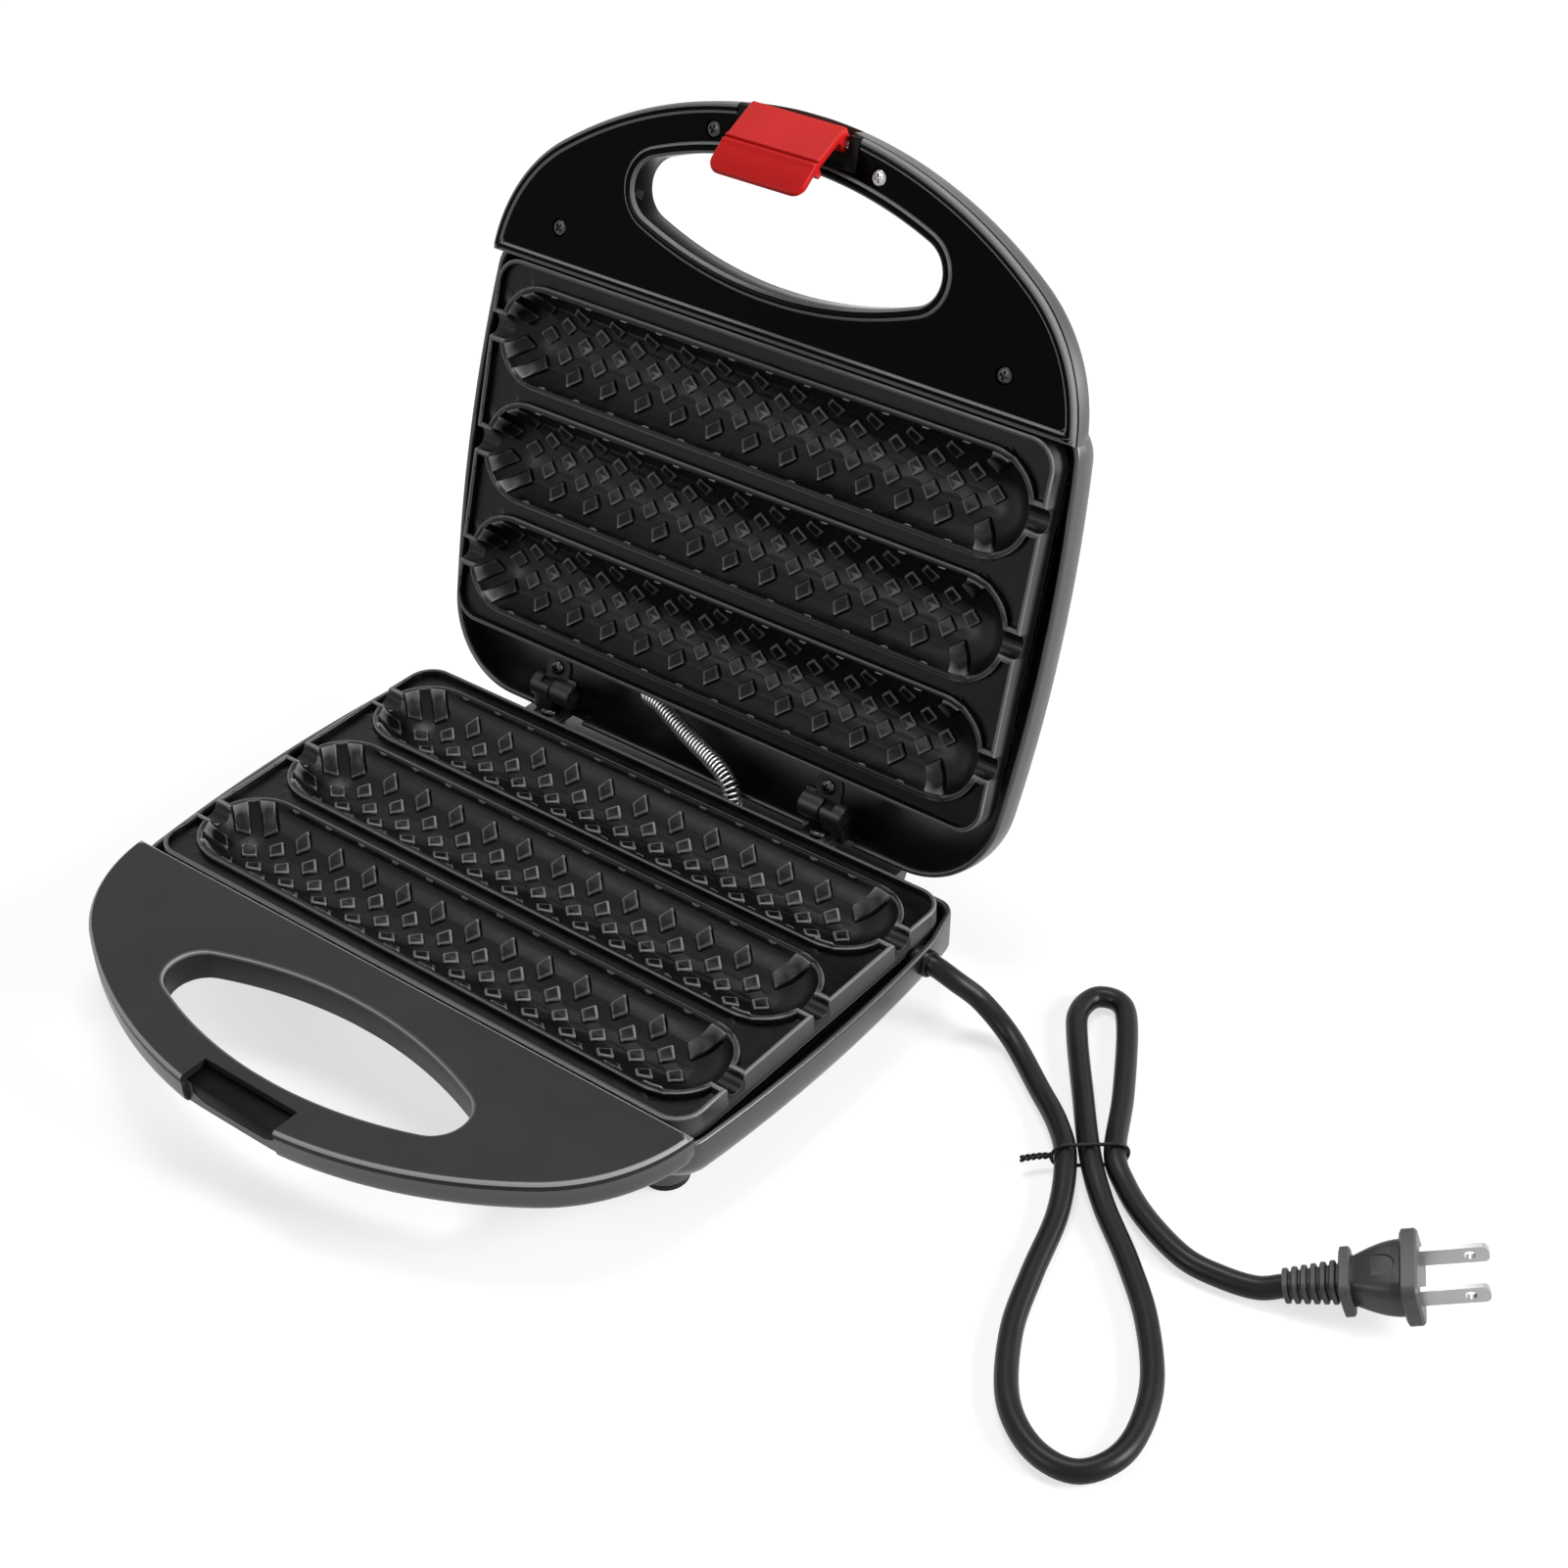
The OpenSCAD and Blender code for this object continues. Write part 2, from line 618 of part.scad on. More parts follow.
module base_moulding() {
    difference() {
        union() {
            difference() {
                housing_half() {
                    for (p = foot_at) rod_z(p[0], p[1], seat_top + 0.8, body_depth + 1, foot_r + 1);
                    for (x = hinge_xs) rod_z(x, base_screw_y, -base_leaf_z, body_depth + 1, 5);
                    rod_z(conduit_base[0], conduit_base[1], -conduit_base_z, body_depth + 1, conduit_post_r);
                    for (p = cover_screws) rod_z(p[0], p[1], cover_boss_d, grip_depth + 1, 3.4);
                    block(-latch_slot - 2.4, latch_slot + 2.4, -grip_front, recess_back + 1.6, recess_d, grip_depth + 1);
                    tub_wall();
                    hinge_shelf();
                }
                block(-latch_slot, latch_slot, -grip_front - 5, lip_front, 0, grip_depth + 2);
                block(-latch_slot, latch_slot, -grip_front - 5, recess_back, 0, recess_d);
                rear_relief();
                for (p = cover_screws) {
                    rod_z(p[0], p[1], 0, grip_depth + 2, 1.4);
                    rod_z(p[0], p[1], cover_boss_d + 1.5, grip_depth + 2, 2.7);
                }
                for (x = hinge_xs) rod_z(x, base_screw_y, 0, 17, 1.6);
                rod_x(exit_x - 8, exit_x + 12, exit_y, -exit_z, cord_r + 1.2);
            }
            difference() {
                for (p = foot_at) rod_z(p[0], p[1], body_depth - 6, foot_boss_d, foot_r + 1);
                body_skin(wall_t, wall_t);
            }
        }
        for (p = foot_at) rod_z(p[0], p[1], body_depth - 5, body_depth + 2, 1.6);
    }
}

module base_handle_cover() {
    color("#3f4042") base_down() difference() {
        union() {
            grip_slab(0, 0, cover_t);
            hole_prism(collar_t, cover_t - 0.1, grip_depth);
            for (p = cover_screws) rod_z(p[0], p[1], cover_t - 0.1, cover_boss_d, 3.4);
        }
        hole_prism(0, -1, grip_depth + 1);
        block(-latch_slot, latch_slot, -grip_front - 5, recess_back, -1, cover_t + 1);
        block(-latch_slot - 2.6, latch_slot + 2.6, -grip_front - 5, recess_back + 1.8, recess_d - 0.3, grip_depth);
        for (p = cover_screws) rod_z(p[0], p[1], cover_t + 0.6, cover_boss_d + 1, 1.15);
    }
}

module base_cover_screws() {
    color("#9a9c9e") base_down() for (p = cover_screws) {
        rod_z(p[0], p[1], cover_t + 1, cover_boss_d + 1.6, 1.1);
        rod_z(p[0], p[1], cover_boss_d + 1.5, cover_boss_d + 2.9, 2.5);
    }
}

module lower_plate() color("#2a2a2b") base_down() plate();
module upper_plate() color("#2a2a2b") lid_up() plate();
module lower_plate_screws() color("#9a9c9e") base_down() plate_screw_set();
module upper_plate_screws() color("#9a9c9e") lid_up() plate_screw_set();
module lower_heater() color("#6f6a66") base_down() heater();
module upper_heater() color("#6f6a66") lid_up() heater();
module lower_reflector() color("#b9bbbd") base_down() reflector();
module upper_reflector() color("#b9bbbd") lid_up() reflector();

module thermostat() {
    z = cavity_depth + plate_wall + 0.2;
    color("#c8c2b4") base_down() {
        rod_z(0, 0, z, z + 4, 7);
        for (s = [-1, 1]) block(s * 4 - 1.5, s * 4 + 1.5, -0.4, 0.4, z + 3.9, z + 6);
    }
}

module thermal_fuse() {
    z = heater_d + heater_r + 2.2;
    color("#d0d2d4") base_down() {
        rod_x(30, 42, heater_y, z, 2);
        rod_x(26, 46, heater_y, z, 0.5);
    }
}

module terminal_block() {
    color("#d9d4c6") base_down() difference() {
        block(-14, 14, grip_edge_y - 11, grip_edge_y - 3, cover_t + 0.2, grip_depth - wall_t - 0.1);
        for (x = [-8, 0, 8]) rod_z(x, grip_edge_y - 7, cover_t, cover_t + 2.5, 1.8);
    }
}

module mains_wires() {
    x = half_len - 2.5;
    color("#d8d8d6") base_frame() for (k = [0, 1])
        tube(smooth([
            [exit_x - 4.3, exit_y + 1.4 - 2.8 * k, exit_z - 0.9],
            [x + 0.6, exit_y - 1 - 2.8 * k, exit_z - 1.8],
            [x, exit_y - 16, exit_z - 3 - 2.6 * k],
            [x, -half_w + 20, exit_z - 3 - 2.6 * k],
            k == 0 ? [post_x + 7, -post_y - 1, -10.6] : [post_x + 6, -post_y - 0.5, -13.4],
            k == 0 ? [post_x + 5.4, -post_y - 6, -10.4] : [post_x + 4.2, -post_y - 4.6, -11.8],
            k == 0 ? [post_x + 1.5, -half_w - 1.9, -9.4] : [post_x + 0.4, -post_y - 7, -10.9],
            k == 0 ? [post_x - 4, grip_edge_y - 4.2, -6.2] : [post_x - 4.4, -half_w - 2.1, -9],
            [60, grip_edge_y - 8.4 + 2.8 * k, -6],
            [14.6, grip_edge_y - 8.4 + 2.8 * k, -6]
        ], 3), 1.1, 8);
}

module feet() {
    color("#1c1c1d") base_down() for (p = foot_at) {
        rod_z(p[0], p[1], foot_boss_d, parting_h, foot_r);
        rod_z(p[0], p[1], body_depth - 3.5, foot_boss_d + 0.1, 1.5);
    }
}

// Base half of one hinge: screwed leaf, upright web and the outer knuckle ring
module base_hinge(x, side) {
    x0 = side > 0 ? x + ring_gap / 2 : x - ring_gap / 2 - knuckle_len;
    color("#262627") base_frame() difference() {
        union() {
            block(x - leaf_w / 2, x + leaf_w / 2, hinge_y - 10, hinge_y + 2, base_leaf_z, base_leaf_z + leaf_t);
            block(x0, x0 + knuckle_len, hinge_y - 2.6, hinge_y + 2.6, base_leaf_z, hinge_z);
            rod_x(x0, x0 + knuckle_len, hinge_y, hinge_z, knuckle_r);
        }
        rod_x(x0 - 1, x0 + knuckle_len + 1, hinge_y, hinge_z, pin_r + 0.01);
        rod_z(x, base_screw_y, base_leaf_z - 1, base_leaf_z + leaf_t, 1.6);
        rod_z(x, base_screw_y, base_leaf_z + leaf_t - 0.01, base_leaf_z + leaf_t + 2.4, 3.2);
    }
}
module base_hinge_left() base_hinge(hinge_xs[0], -1);
module base_hinge_right() base_hinge(hinge_xs[1], 1);

// Lid half of one hinge: screwed leaf, arm and the inner knuckle ring
module lid_hinge(x, side) {
    x0 = side > 0 ? x - ring_gap / 2 - knuckle_len : x + ring_gap / 2;
    zc = hinge_z - plate_gap;
    color("#262627") lid_up() difference() {
        union() {
            block(x - leaf_w / 2, x + leaf_w / 2, half_w + 0.4, half_w + 6.6, lid_leaf_d, lid_leaf_d + leaf_t);
            block(x0, x0 + knuckle_len, half_w + 6, hinge_y, lid_leaf_d, lid_leaf_d + leaf_t);
            rod_x(x0, x0 + knuckle_len, hinge_y, zc, knuckle_r);
        }
        rod_x(x0 - 1, x0 + knuckle_len + 1, hinge_y, zc, bore_r);
        rod_z(x, lid_screw_y, lid_leaf_d - 1, lid_leaf_d + leaf_t + 1, 1.3);
    }
}
module lid_hinge_left() lid_hinge(hinge_xs[0], -1);
module lid_hinge_right() lid_hinge(hinge_xs[1], 1);

module base_hinge_screws() {
    top = base_leaf_z + leaf_t;
    color("#b9bbbd") base_frame() for (x = hinge_xs) {
        rod_z(x, base_screw_y, top - hinge_screw_len, top + 0.1, 1.5);
        rod_z(x, base_screw_y, top, top + 1.8, 2.9);
    }
}

module lid_hinge_screws() {
    color("#b9bbbd") lid_up() for (x = hinge_xs) {
        rod_z(x, lid_screw_y, lid_leaf_d - 0.1, lid_leaf_d + leaf_t + lid_screw_len, 1.2);
        rod_z(x, lid_screw_y, lid_leaf_d - 1.7, lid_leaf_d, 2.5);
    }
}

module hinge_pins() {
    reach = knuckle_len + ring_gap / 2;
    color("#8d8f91") base_frame() for (x = hinge_xs) rod_x(x - reach, x + reach, hinge_y, hinge_z, pin_r);
}

module lid_housing() color("#3a3b3d") lid_up() difference() {
    lid_moulding();
    grip_share();
}
module lid_grip_shell() color("#3a3b3d") lid_up() intersection() {
    lid_moulding();
    grip_share();
}

module lid_moulding() {
    difference() {
        union() {
            difference() {
                housing_half() {
                    for (x = hinge_xs) rod_z(x, lid_screw_y, rim_drop + 5, body_depth + 1, 2.6);
                    rod_z(conduit_lid[0], conduit_lid[1], conduit_lid_d, body_depth + 1, conduit_post_r);
                    for (p = cover_screws) rod_z(p[0], p[1], cover_t, grip_depth + 1, 3.2);
                    for (p = lens_at) rod_z(p[0], p[1], body_depth - 3, body_depth + 1, lens_r + 2);
                }
                for (x = hinge_xs) block(x - 10, x + 10, hinge_y, rear_y + 5, 0, rim_drop + 4.5);
                for (p = cover_screws) rod_z(p[0], p[1], 0, grip_depth - 1.4, 1.15);
            }
            intersection() {
                grip_slab(0.8, 0.2, 8.3);
                block(-latch_slot - 4.2, latch_slot + 4.2, -grip_front, recess_back + 1.6, 0, grip_depth);
            }
            for (x = hinge_xs) rod_z(x, lid_screw_y, lid_leaf_d + leaf_t, rim_drop + 6, 3);
        }
        for (x = hinge_xs) rod_z(x, lid_screw_y, 0, 14, 1.3);
        block(-latch_slot, latch_slot, -grip_front - 5, latch_pin_y + 6.4, -1, 8);
        rod_x(-latch_slot - 3.8, latch_slot + 3.8, latch_pin_y, latch_pin_d, latch_pin_r + pin_clearance);
        for (p = lens_at) {
            rod_z(p[0], p[1], body_depth - 4, body_depth + 2, lens_r + 0.05);
        }
    }
}

module lid_handle_cover() {
    color("#0c0c0d") lid_up() difference() {
        union() {
            grip_slab(0, 0, cover_t);
            hole_prism(collar_t, cover_t - 0.1, grip_depth);
        }
        hole_prism(0, -1, grip_depth + 1);
        block(-latch_slot - 4.4, latch_slot + 4.4, -grip_front - 5, recess_back + 1.8, -1, grip_depth + 1);
        for (p = cover_screws) {
            rod_z(p[0], p[1], -1, cover_t + 1, 1.4);
            rod_z(p[0], p[1], -1, 1.4, 3);
        }
    }
}

module lid_cover_screws() {
    color("#8d8f91") lid_up() for (p = cover_screws) {
        rod_z(p[0], p[1], 1.3, grip_depth - 2.4, 1.1);
        rod_z(p[0], p[1], 0.3, 1.4, 2.6);
    }
}

module lens(p) {
    rod_z(p[0], p[1], body_depth - 2.6, body_depth + 0.6, lens_r);
}
module power_lens() color("#c0262a") lid_up() lens(lens_at[0]);
module ready_lens() color("#3a9a4a") lid_up() lens(lens_at[1]);
module indicator_lamps() {
    color("#e8e2d0") lid_up() for (p = lens_at) rod_z(p[0], p[1], seat_top + 0.4, body_depth - 2.8, 2.2);
}

module wire_conduit() color("#c9cbcd") base_frame() tube(conduit_wire, conduit_wire_d / 2, 6);
module conduit_wires() color("#d8d8d6") base_frame() tube([for (i = [1:3:len(conduit_path) - 1]) conduit_path[i]], 1.5, 8);

// Latch in the hanging pose, turned inward about its pin
module latch_frame() lid_up() translate([0, latch_pin_y, latch_pin_d]) rotate([latch_tilt, 0, 0]) children();
module latch_pin() color("#9a9c9e") latch_frame() rod_x(-latch_slot - 3.6, latch_slot + 3.6, 0, 0, latch_pin_r);

module latch_clip() {
    h = latch_w / 2;
    face = latch_face - latch_pin_y;
    foot = -hook_d - plate_gap - latch_pin_d;
    color("#d92b29") latch_frame() difference() {
        union() {
            block(-h, h, face - latch_t, face, foot - 2.4, 2.4);
            block(-h, h, face - latch_t, 0, -2.4, 2.4);
            rod_x(-h, h, 0, 0, 2.4);
            block(-h, h, face - 0.1, face + 2.6, foot - 2.2, foot);
            translate([0, face, foot - 2.2]) rotate([12, 0, 0]) rotate([90, 0, 0]) linear_extrude(height = latch_t)
                polygon(both_sides(concat(arc(h - 4.3, 4 - lip_len, 4, -90, 0, 6), [[h - 0.3, 1]])));
        }
        rod_x(-h - 1, h + 1, 0, 0, latch_pin_r + pin_clearance);
    }
}

module cord_bushing() {
    color("#1a1a1b") base_frame() difference() {
        union() {
            rod_x(exit_x - 3, exit_x + 4, exit_y, exit_z, cord_r + 1.1);
            rod_x(exit_x + 3, exit_x + 4.2, exit_y, exit_z, cord_r + 1.8);
        }
        rod_x(exit_x - 4, exit_x + 6, exit_y, exit_z, cord_r + 0.3);
    }
}
module power_cord() color("#1a1a1b") base_frame() tube(cord_path, cord_r, 10);

module cord_tie() {
    r = 0.5;
    loop_r = cord_r + r + 0.1;
    span = 7;
    color("#111112") base_frame() translate(tie_at) rotate([0, 0, tie_heading]) rotate([90, 0, 0]) {
        for (s = [-1, 1]) {
            translate([s * span, 0, 0]) rotate([0, 0, -90 * s]) rotate_extrude(angle = 180)
                translate([loop_r, 0]) circle(r = r);
            rod_x(-span, span, s * loop_r, 0, r);
        }
        translate([-span - loop_r, 0, 0]) rotate([0, -90, 0]) cylinder(h = 9, r = 0.8);
    }
}

module plug_frame() base_frame() translate(plug_pos) rotate([plug_roll, -plug_tilt, plug_heading]) children();

// A square-cornered slab across the plug's axis with bevelled corners
module bevel_slab(x0, x1, hy, hz, b) translate([x0, 0, 0]) rotate([90, 0, 90]) linear_extrude(height = x1 - x0)
    polygon([
        [hy, -hz + b], [hy, hz - b], [hy - b, hz], [-hy + b, hz],
        [-hy, hz - b], [-hy, -hz + b], [-hy + b, -hz], [hy - b, -hz]
    ]);

module plug() {
    relief = plug_len * 0.42;
    small = plug_len * 0.51;
    big = plug_len * 0.87;
    color("#454648") plug_frame() difference() {
        union() {
            for (k = [0:5]) block(k * relief / 6, k * relief / 6 + 1.6, -4 - 0.2 * k, 4 + 0.2 * k, -3.9 - 0.1 * k, 3.9 + 0.1 * k);
            block(0.1, relief + 1, -4.2, 4.2, -3.7, 3.7);
            bevel_slab(relief, small, 8, 6.2, 2);
            hull() {
                block(small - 0.1, small + 1, -5.5, 5.5, -5, 5);
                block((small + big) / 2, big + 0.1, -9.4, 9.4, -6.6, 6.6);
            }
            bevel_slab(big, plug_len, 11.2, 8, 2.6);
        }
        rod_x(-1, 7, 0, 0, cord_r + 0.15);
        for (s = [-1, 1])
            block(plug_len - 4, plug_len + 1, s * blade_gap / 2 - 0.8, s * blade_gap / 2 + 0.8, -3.2, 3.2);
    }
}

module plug_blades() {
    color("#c9cbcd") plug_frame() for (s = [-1, 1]) difference() {
        block(plug_len - 4, plug_len + blade_len, s * blade_gap / 2 - 0.75, s * blade_gap / 2 + 0.75, -3.15, 3.15);
        translate([plug_len + blade_len - 5, s * blade_gap / 2 - 2, 0]) rotate([-90, 0, 0]) cylinder(h = 4, r = 1.6);
    }
}

base_housing();
base_grip_shell();
base_handle_cover();
base_cover_screws();
lower_plate();
lower_plate_screws();
lower_heater();
lower_reflector();
thermostat();
thermal_fuse();
terminal_block();
mains_wires();
feet();
base_hinge_left();
base_hinge_right();
base_hinge_screws();
hinge_pins();
cord_bushing();
power_cord();
cord_tie();
plug();
plug_blades();
lid_housing();
lid_grip_shell();
lid_handle_cover();
lid_cover_screws();
upper_plate();
upper_plate_screws();
upper_heater();
upper_reflector();
lid_hinge_left();
lid_hinge_right();
lid_hinge_screws();
power_lens();
ready_lens();
indicator_lamps();
wire_conduit();
conduit_wires();
latch_pin();
latch_clip();
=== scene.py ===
"""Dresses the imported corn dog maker: coated plates, moulded halves, latch, wound conduit and lead."""

import math
from collections import namedtuple

import bmesh
import bpy
import numpy as np
from mathutils import Matrix, Vector
from mathutils.geometry import delaunay_2d_cdt


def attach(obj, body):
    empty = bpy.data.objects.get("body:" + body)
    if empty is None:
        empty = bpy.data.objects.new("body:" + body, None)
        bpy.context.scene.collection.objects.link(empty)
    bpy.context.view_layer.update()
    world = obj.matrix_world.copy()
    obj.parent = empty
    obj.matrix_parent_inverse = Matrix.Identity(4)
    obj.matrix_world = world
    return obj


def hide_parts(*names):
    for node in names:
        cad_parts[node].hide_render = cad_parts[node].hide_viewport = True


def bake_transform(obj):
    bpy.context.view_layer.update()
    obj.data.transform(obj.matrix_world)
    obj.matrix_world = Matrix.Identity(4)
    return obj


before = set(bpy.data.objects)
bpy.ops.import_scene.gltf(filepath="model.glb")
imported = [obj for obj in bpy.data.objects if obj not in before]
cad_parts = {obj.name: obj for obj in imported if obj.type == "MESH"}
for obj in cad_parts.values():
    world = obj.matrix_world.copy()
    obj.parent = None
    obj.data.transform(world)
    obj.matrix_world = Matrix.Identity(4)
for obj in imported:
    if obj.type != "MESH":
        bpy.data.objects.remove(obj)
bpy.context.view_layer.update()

# Sizes in millimetres, the same values as the solids
MM = 0.001
QUARTER = math.pi / 2
WELD = 0.5e-6
PLATE_Y = -7.186795
BODY_DEPTH = 28.0
FOOT_H = 3.0
PARTING_H = BODY_DEPTH + FOOT_H
HINGE_Y = 73.0
HINGE_Z = 1.7
LID_OPEN = math.radians(108.5)
PLATE_GAP = 0.4
HALF_LEN = 108.0
HALF_W = 61.5
PLATE_R = 9.0
FLANGE_DROP = 2.2
FLANGE_T = 2.2
SKIRT_H = 8.0
SKIRT_EDGE = 0.5
CAVITY_R = 16.0938
CAVITY_UP = 5.2938
CAVITY_END = 87.6
CAVITY_HALF = 15.2
CAVITY_ROWS = (-38.5, 0.0, 38.5)
PLATE_WALL = 2.0
STICK_R = 3.9
BODY_HALF = 115.5
BODY_FRONT = -68.0
REAR_Y = 83.0
REAR_R = 30.0
FRONT_R = 12.0
BOW_R = 516.0
BOW_Y = -3.0
TUB_REAR = 65.2
TUB_HALF = 109.7
TUB_R = 7.0
TUB_SIDE_Y = 48.0
TUB_DRAFT = 1.0
SHELF_HALF = 78.0
SHELF_D = 13.6
WALL_T = 2.0
GRIP_FRONT = 130.5
GRIP_HALF = 112.5
GRIP_EDGE_Y = -62.0
GRIP_CY = -58.0
GRIP_TIP_R = 54.0
GRIP_DEPTH = 10.4
COVER_T = 2.4
HOLE_CY = -96.0
HOLE_HALF_W = 58.5
HOLE_HALF_H = 19.0
HOLE_TIP_R = 10.0
LATCH_SLOT = 18.7
LATCH_PIN_Y = -125.5
LATCH_PIN_D = 1.4
LATCH_TILT = math.radians(43.5)
RECESS_BACK = -119.7
HINGE_XS = (-60.0, 52.8)
KNUCKLE_R = 4.3
KNUCKLE_LEN = 8.0
RING_GAP = 0.5
CORD_R = 3.25
LIE = CORD_R - PARTING_H
TIED = LIE + 1.15
EXIT = (113.0, 43.0, -9.5)
PLUG_POS = (256.5, 7.0, LIE + 2.3)
PLUG_TURN = (math.radians(8.7), math.radians(-15.0), math.radians(27.7))
PLUG_LEN = 36.0
BLADE_LEN = 17.5
BLADE_GAP = 12.7


# Frames: base, base looking down, open lid looking up, latch and plug
def points(p):
    return np.asarray(p, float).reshape(-1, 3)


def base_up(p):
    return (points(p) + [0, PLATE_Y, PARTING_H]) * MM


def base_down(p):
    return base_up(points(p) * [1, 1, -1])


def lid_closed_to_open(p):
    p = points(p)
    dy, dz = spun(p[:, 1] - HINGE_Y, p[:, 2] + PLATE_GAP - HINGE_Z, -LID_OPEN)
    return np.stack([p[:, 0], HINGE_Y + dy, HINGE_Z + dz], 1)


def lid_up(p):
    return base_up(lid_closed_to_open(p))


def latch_at(p):
    p = points(p)
    y, z = spun(p[:, 1], p[:, 2], LATCH_TILT)
    return lid_up(np.stack([p[:, 0], y + LATCH_PIN_Y, z + LATCH_PIN_D], 1))


def plug_at(p):
    turn = Matrix.Rotation(PLUG_TURN[2], 3, "Z") @ Matrix.Rotation(PLUG_TURN[1], 3, "Y")
    turn = np.array(turn @ Matrix.Rotation(PLUG_TURN[0], 3, "X"))
    return base_up(points(p) @ turn.T + PLUG_POS)


# Meshes
def in_scene(name, data):
    obj = bpy.data.objects.new(name, data)
    bpy.context.scene.collection.objects.link(obj)
    return obj


def add(name, verts, faces, place):
    """A new mesh object from local points, its closed faces turned outward."""
    mesh = bpy.data.meshes.new(name)
    mesh.from_pydata([tuple(v) for v in place(verts)], [], [tuple(int(i) for i in f) for f in faces])
    work = bmesh.new()
    work.from_mesh(mesh)
    bmesh.ops.remove_doubles(work, verts=work.verts, dist=WELD)
    bmesh.ops.recalc_face_normals(work, faces=work.faces)
    work.to_mesh(mesh)
    work.free()
    return in_scene(name, mesh)


def piece(name, mesh, place, body, slot, nodes=(), angle=35, cutters=(), look=None):
    """A piece of the object: its mesh cut, shaded, tied to its body, and given its look."""
    obj = add(name, *mesh, place)
    if cutters:
        cut(obj, cutters)
    obj.data.shade_smooth()
    obj.data.set_sharp_from_angle(angle=math.radians(angle))
    obj.data.materials.clear()
    obj.data.materials.append(MAT[look or slot])
    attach(obj, body)
    if nodes:
        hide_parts(*nodes)
    return obj


def crisp_panel(obj, axis):
    """Keeps a flat panel flat in shading: sharp lines where it meets its sloped edges."""
    flat = [abs(Vector(axis).dot(p.normal)) > 0.999 for p in obj.data.polygons]
    beside = {}
    for p in obj.data.polygons:
        for key in p.edge_keys:
            beside.setdefault(key, set()).add(flat[p.index])
    for edge in obj.data.edges:
        if len(beside.get(edge.key, ())) == 2:
            edge.use_edge_sharp = True


def join(parts):
    """Several islands as one list of points and one of faces."""
    verts, faces, count = [], [], 0
    for v, f in parts:
        v = points(v)
        verts.append(v)
        faces += [tuple(i + count for i in face) for face in f]
        count += len(v)
    return np.concatenate(verts), faces


def loft(rows, ring=False):
    """A skin through rows of equal length: closed by caps, or into a ring."""
    n, count = len(rows[0]), len(rows)
    faces = []
    for i in range(count if ring else count - 1):
        a, b = i * n, (i + 1) % count * n
        faces += [(a + k, a + (k + 1) % n, b + (k + 1) % n, b + k) for k in range(n)]
    if not ring:
        faces += [tuple(range(n)), tuple(range((count - 1) * n, count * n))]
    return np.concatenate([points(r) for r in rows]), faces


def level(outline, z):
    outline = np.asarray(outline, float)
    return np.column_stack([outline, np.full(len(outline), z)])


def across(outline, x):
    return np.column_stack([np.full(len(outline), x), outline])


def spun(u, v, angle):
    c, s = math.cos(angle), math.sin(angle)
    return u * c - v * s, u * s + v * c


def box_distance(qx, qy):
    return np.hypot(np.maximum(qx, 0), np.maximum(qy, 0)) + np.minimum(np.maximum(qx, qy), 0)


def arc(cx, cy, r, a0, a1, n):
    a = np.linspace(a0, a1, n + 1)
    return np.column_stack([cx + r * np.cos(a), cy + r * np.sin(a)])


def circle(cx, cy, r, n):
    return arc(cx, cy, r, 0, 2 * math.pi * (n - 1) / n, n - 1)


def both_sides(half):
    return np.concatenate([half, half[::-1] * [-1, 1]])


def rounded_rect(hx, hy, r, n):
    corners = ((hx - r, hy - r, 0), (r - hx, hy - r, 1), (r - hx, r - hy, 2), (hx - r, r - hy, 3))
    return np.concatenate([arc(cx, cy, r, k * QUARTER, (k + 1) * QUARTER, n) for cx, cy, k in corners])


def block(x0, x1, y0, y1, z0, z1, bevel=0.4):
    """A box with rounded edges."""
    low, high = np.array((x0, y0, z0), float), np.array((x1, y1, z1), float)
    work = bmesh.new()
    bmesh.ops.create_cube(work, size=1.0)
    for v in work.verts:
        v.co = (low + high) / 2 + np.array(v.co) * (high - low)
    if bevel:
        bmesh.ops.bevel(work, geom=list(work.edges), offset=bevel, segments=2, affect="EDGES", profile=0.5)
    work.verts.index_update()
    out = [v.co[:] for v in work.verts], [tuple(v.index for v in f.verts) for f in work.faces]
    work.free()
    return out


def turned(profile, n=40, axis="z", at=(0, 0, 0)):
    """Pairs of (along, radius) turned about an axis: a solid where they start on it, otherwise a ring."""
    a = np.linspace(0, 2 * math.pi, n, endpoint=False)
    rows = []
    for along_axis, r in profile:
        ring = np.column_stack([r * np.cos(a), r * np.sin(a), np.full(n, along_axis)])
        rows.append(ring[:, [2, 0, 1]] if axis == "x" else ring)
    v, f = loft(rows, ring=profile[0][1] > 0)
    return v + np.array(at), f


def cut(obj, cutters):
    """Takes solids away from a piece."""
    tools = []
    for verts, faces, place in cutters:
        tools.append(add("cutter", verts, faces, place))
        mod = obj.modifiers.new("cut", "BOOLEAN")
        mod.operation = "DIFFERENCE"
        mod.solver = "EXACT"
        mod.object = tools[-1]
    bpy.context.view_layer.update()
    done = bpy.data.meshes.new_from_object(obj.evaluated_get(bpy.context.evaluated_depsgraph_get()))
    obj.modifiers.clear()
    obj.data = done
    for t in tools:
        bpy.data.objects.remove(t)
    return obj


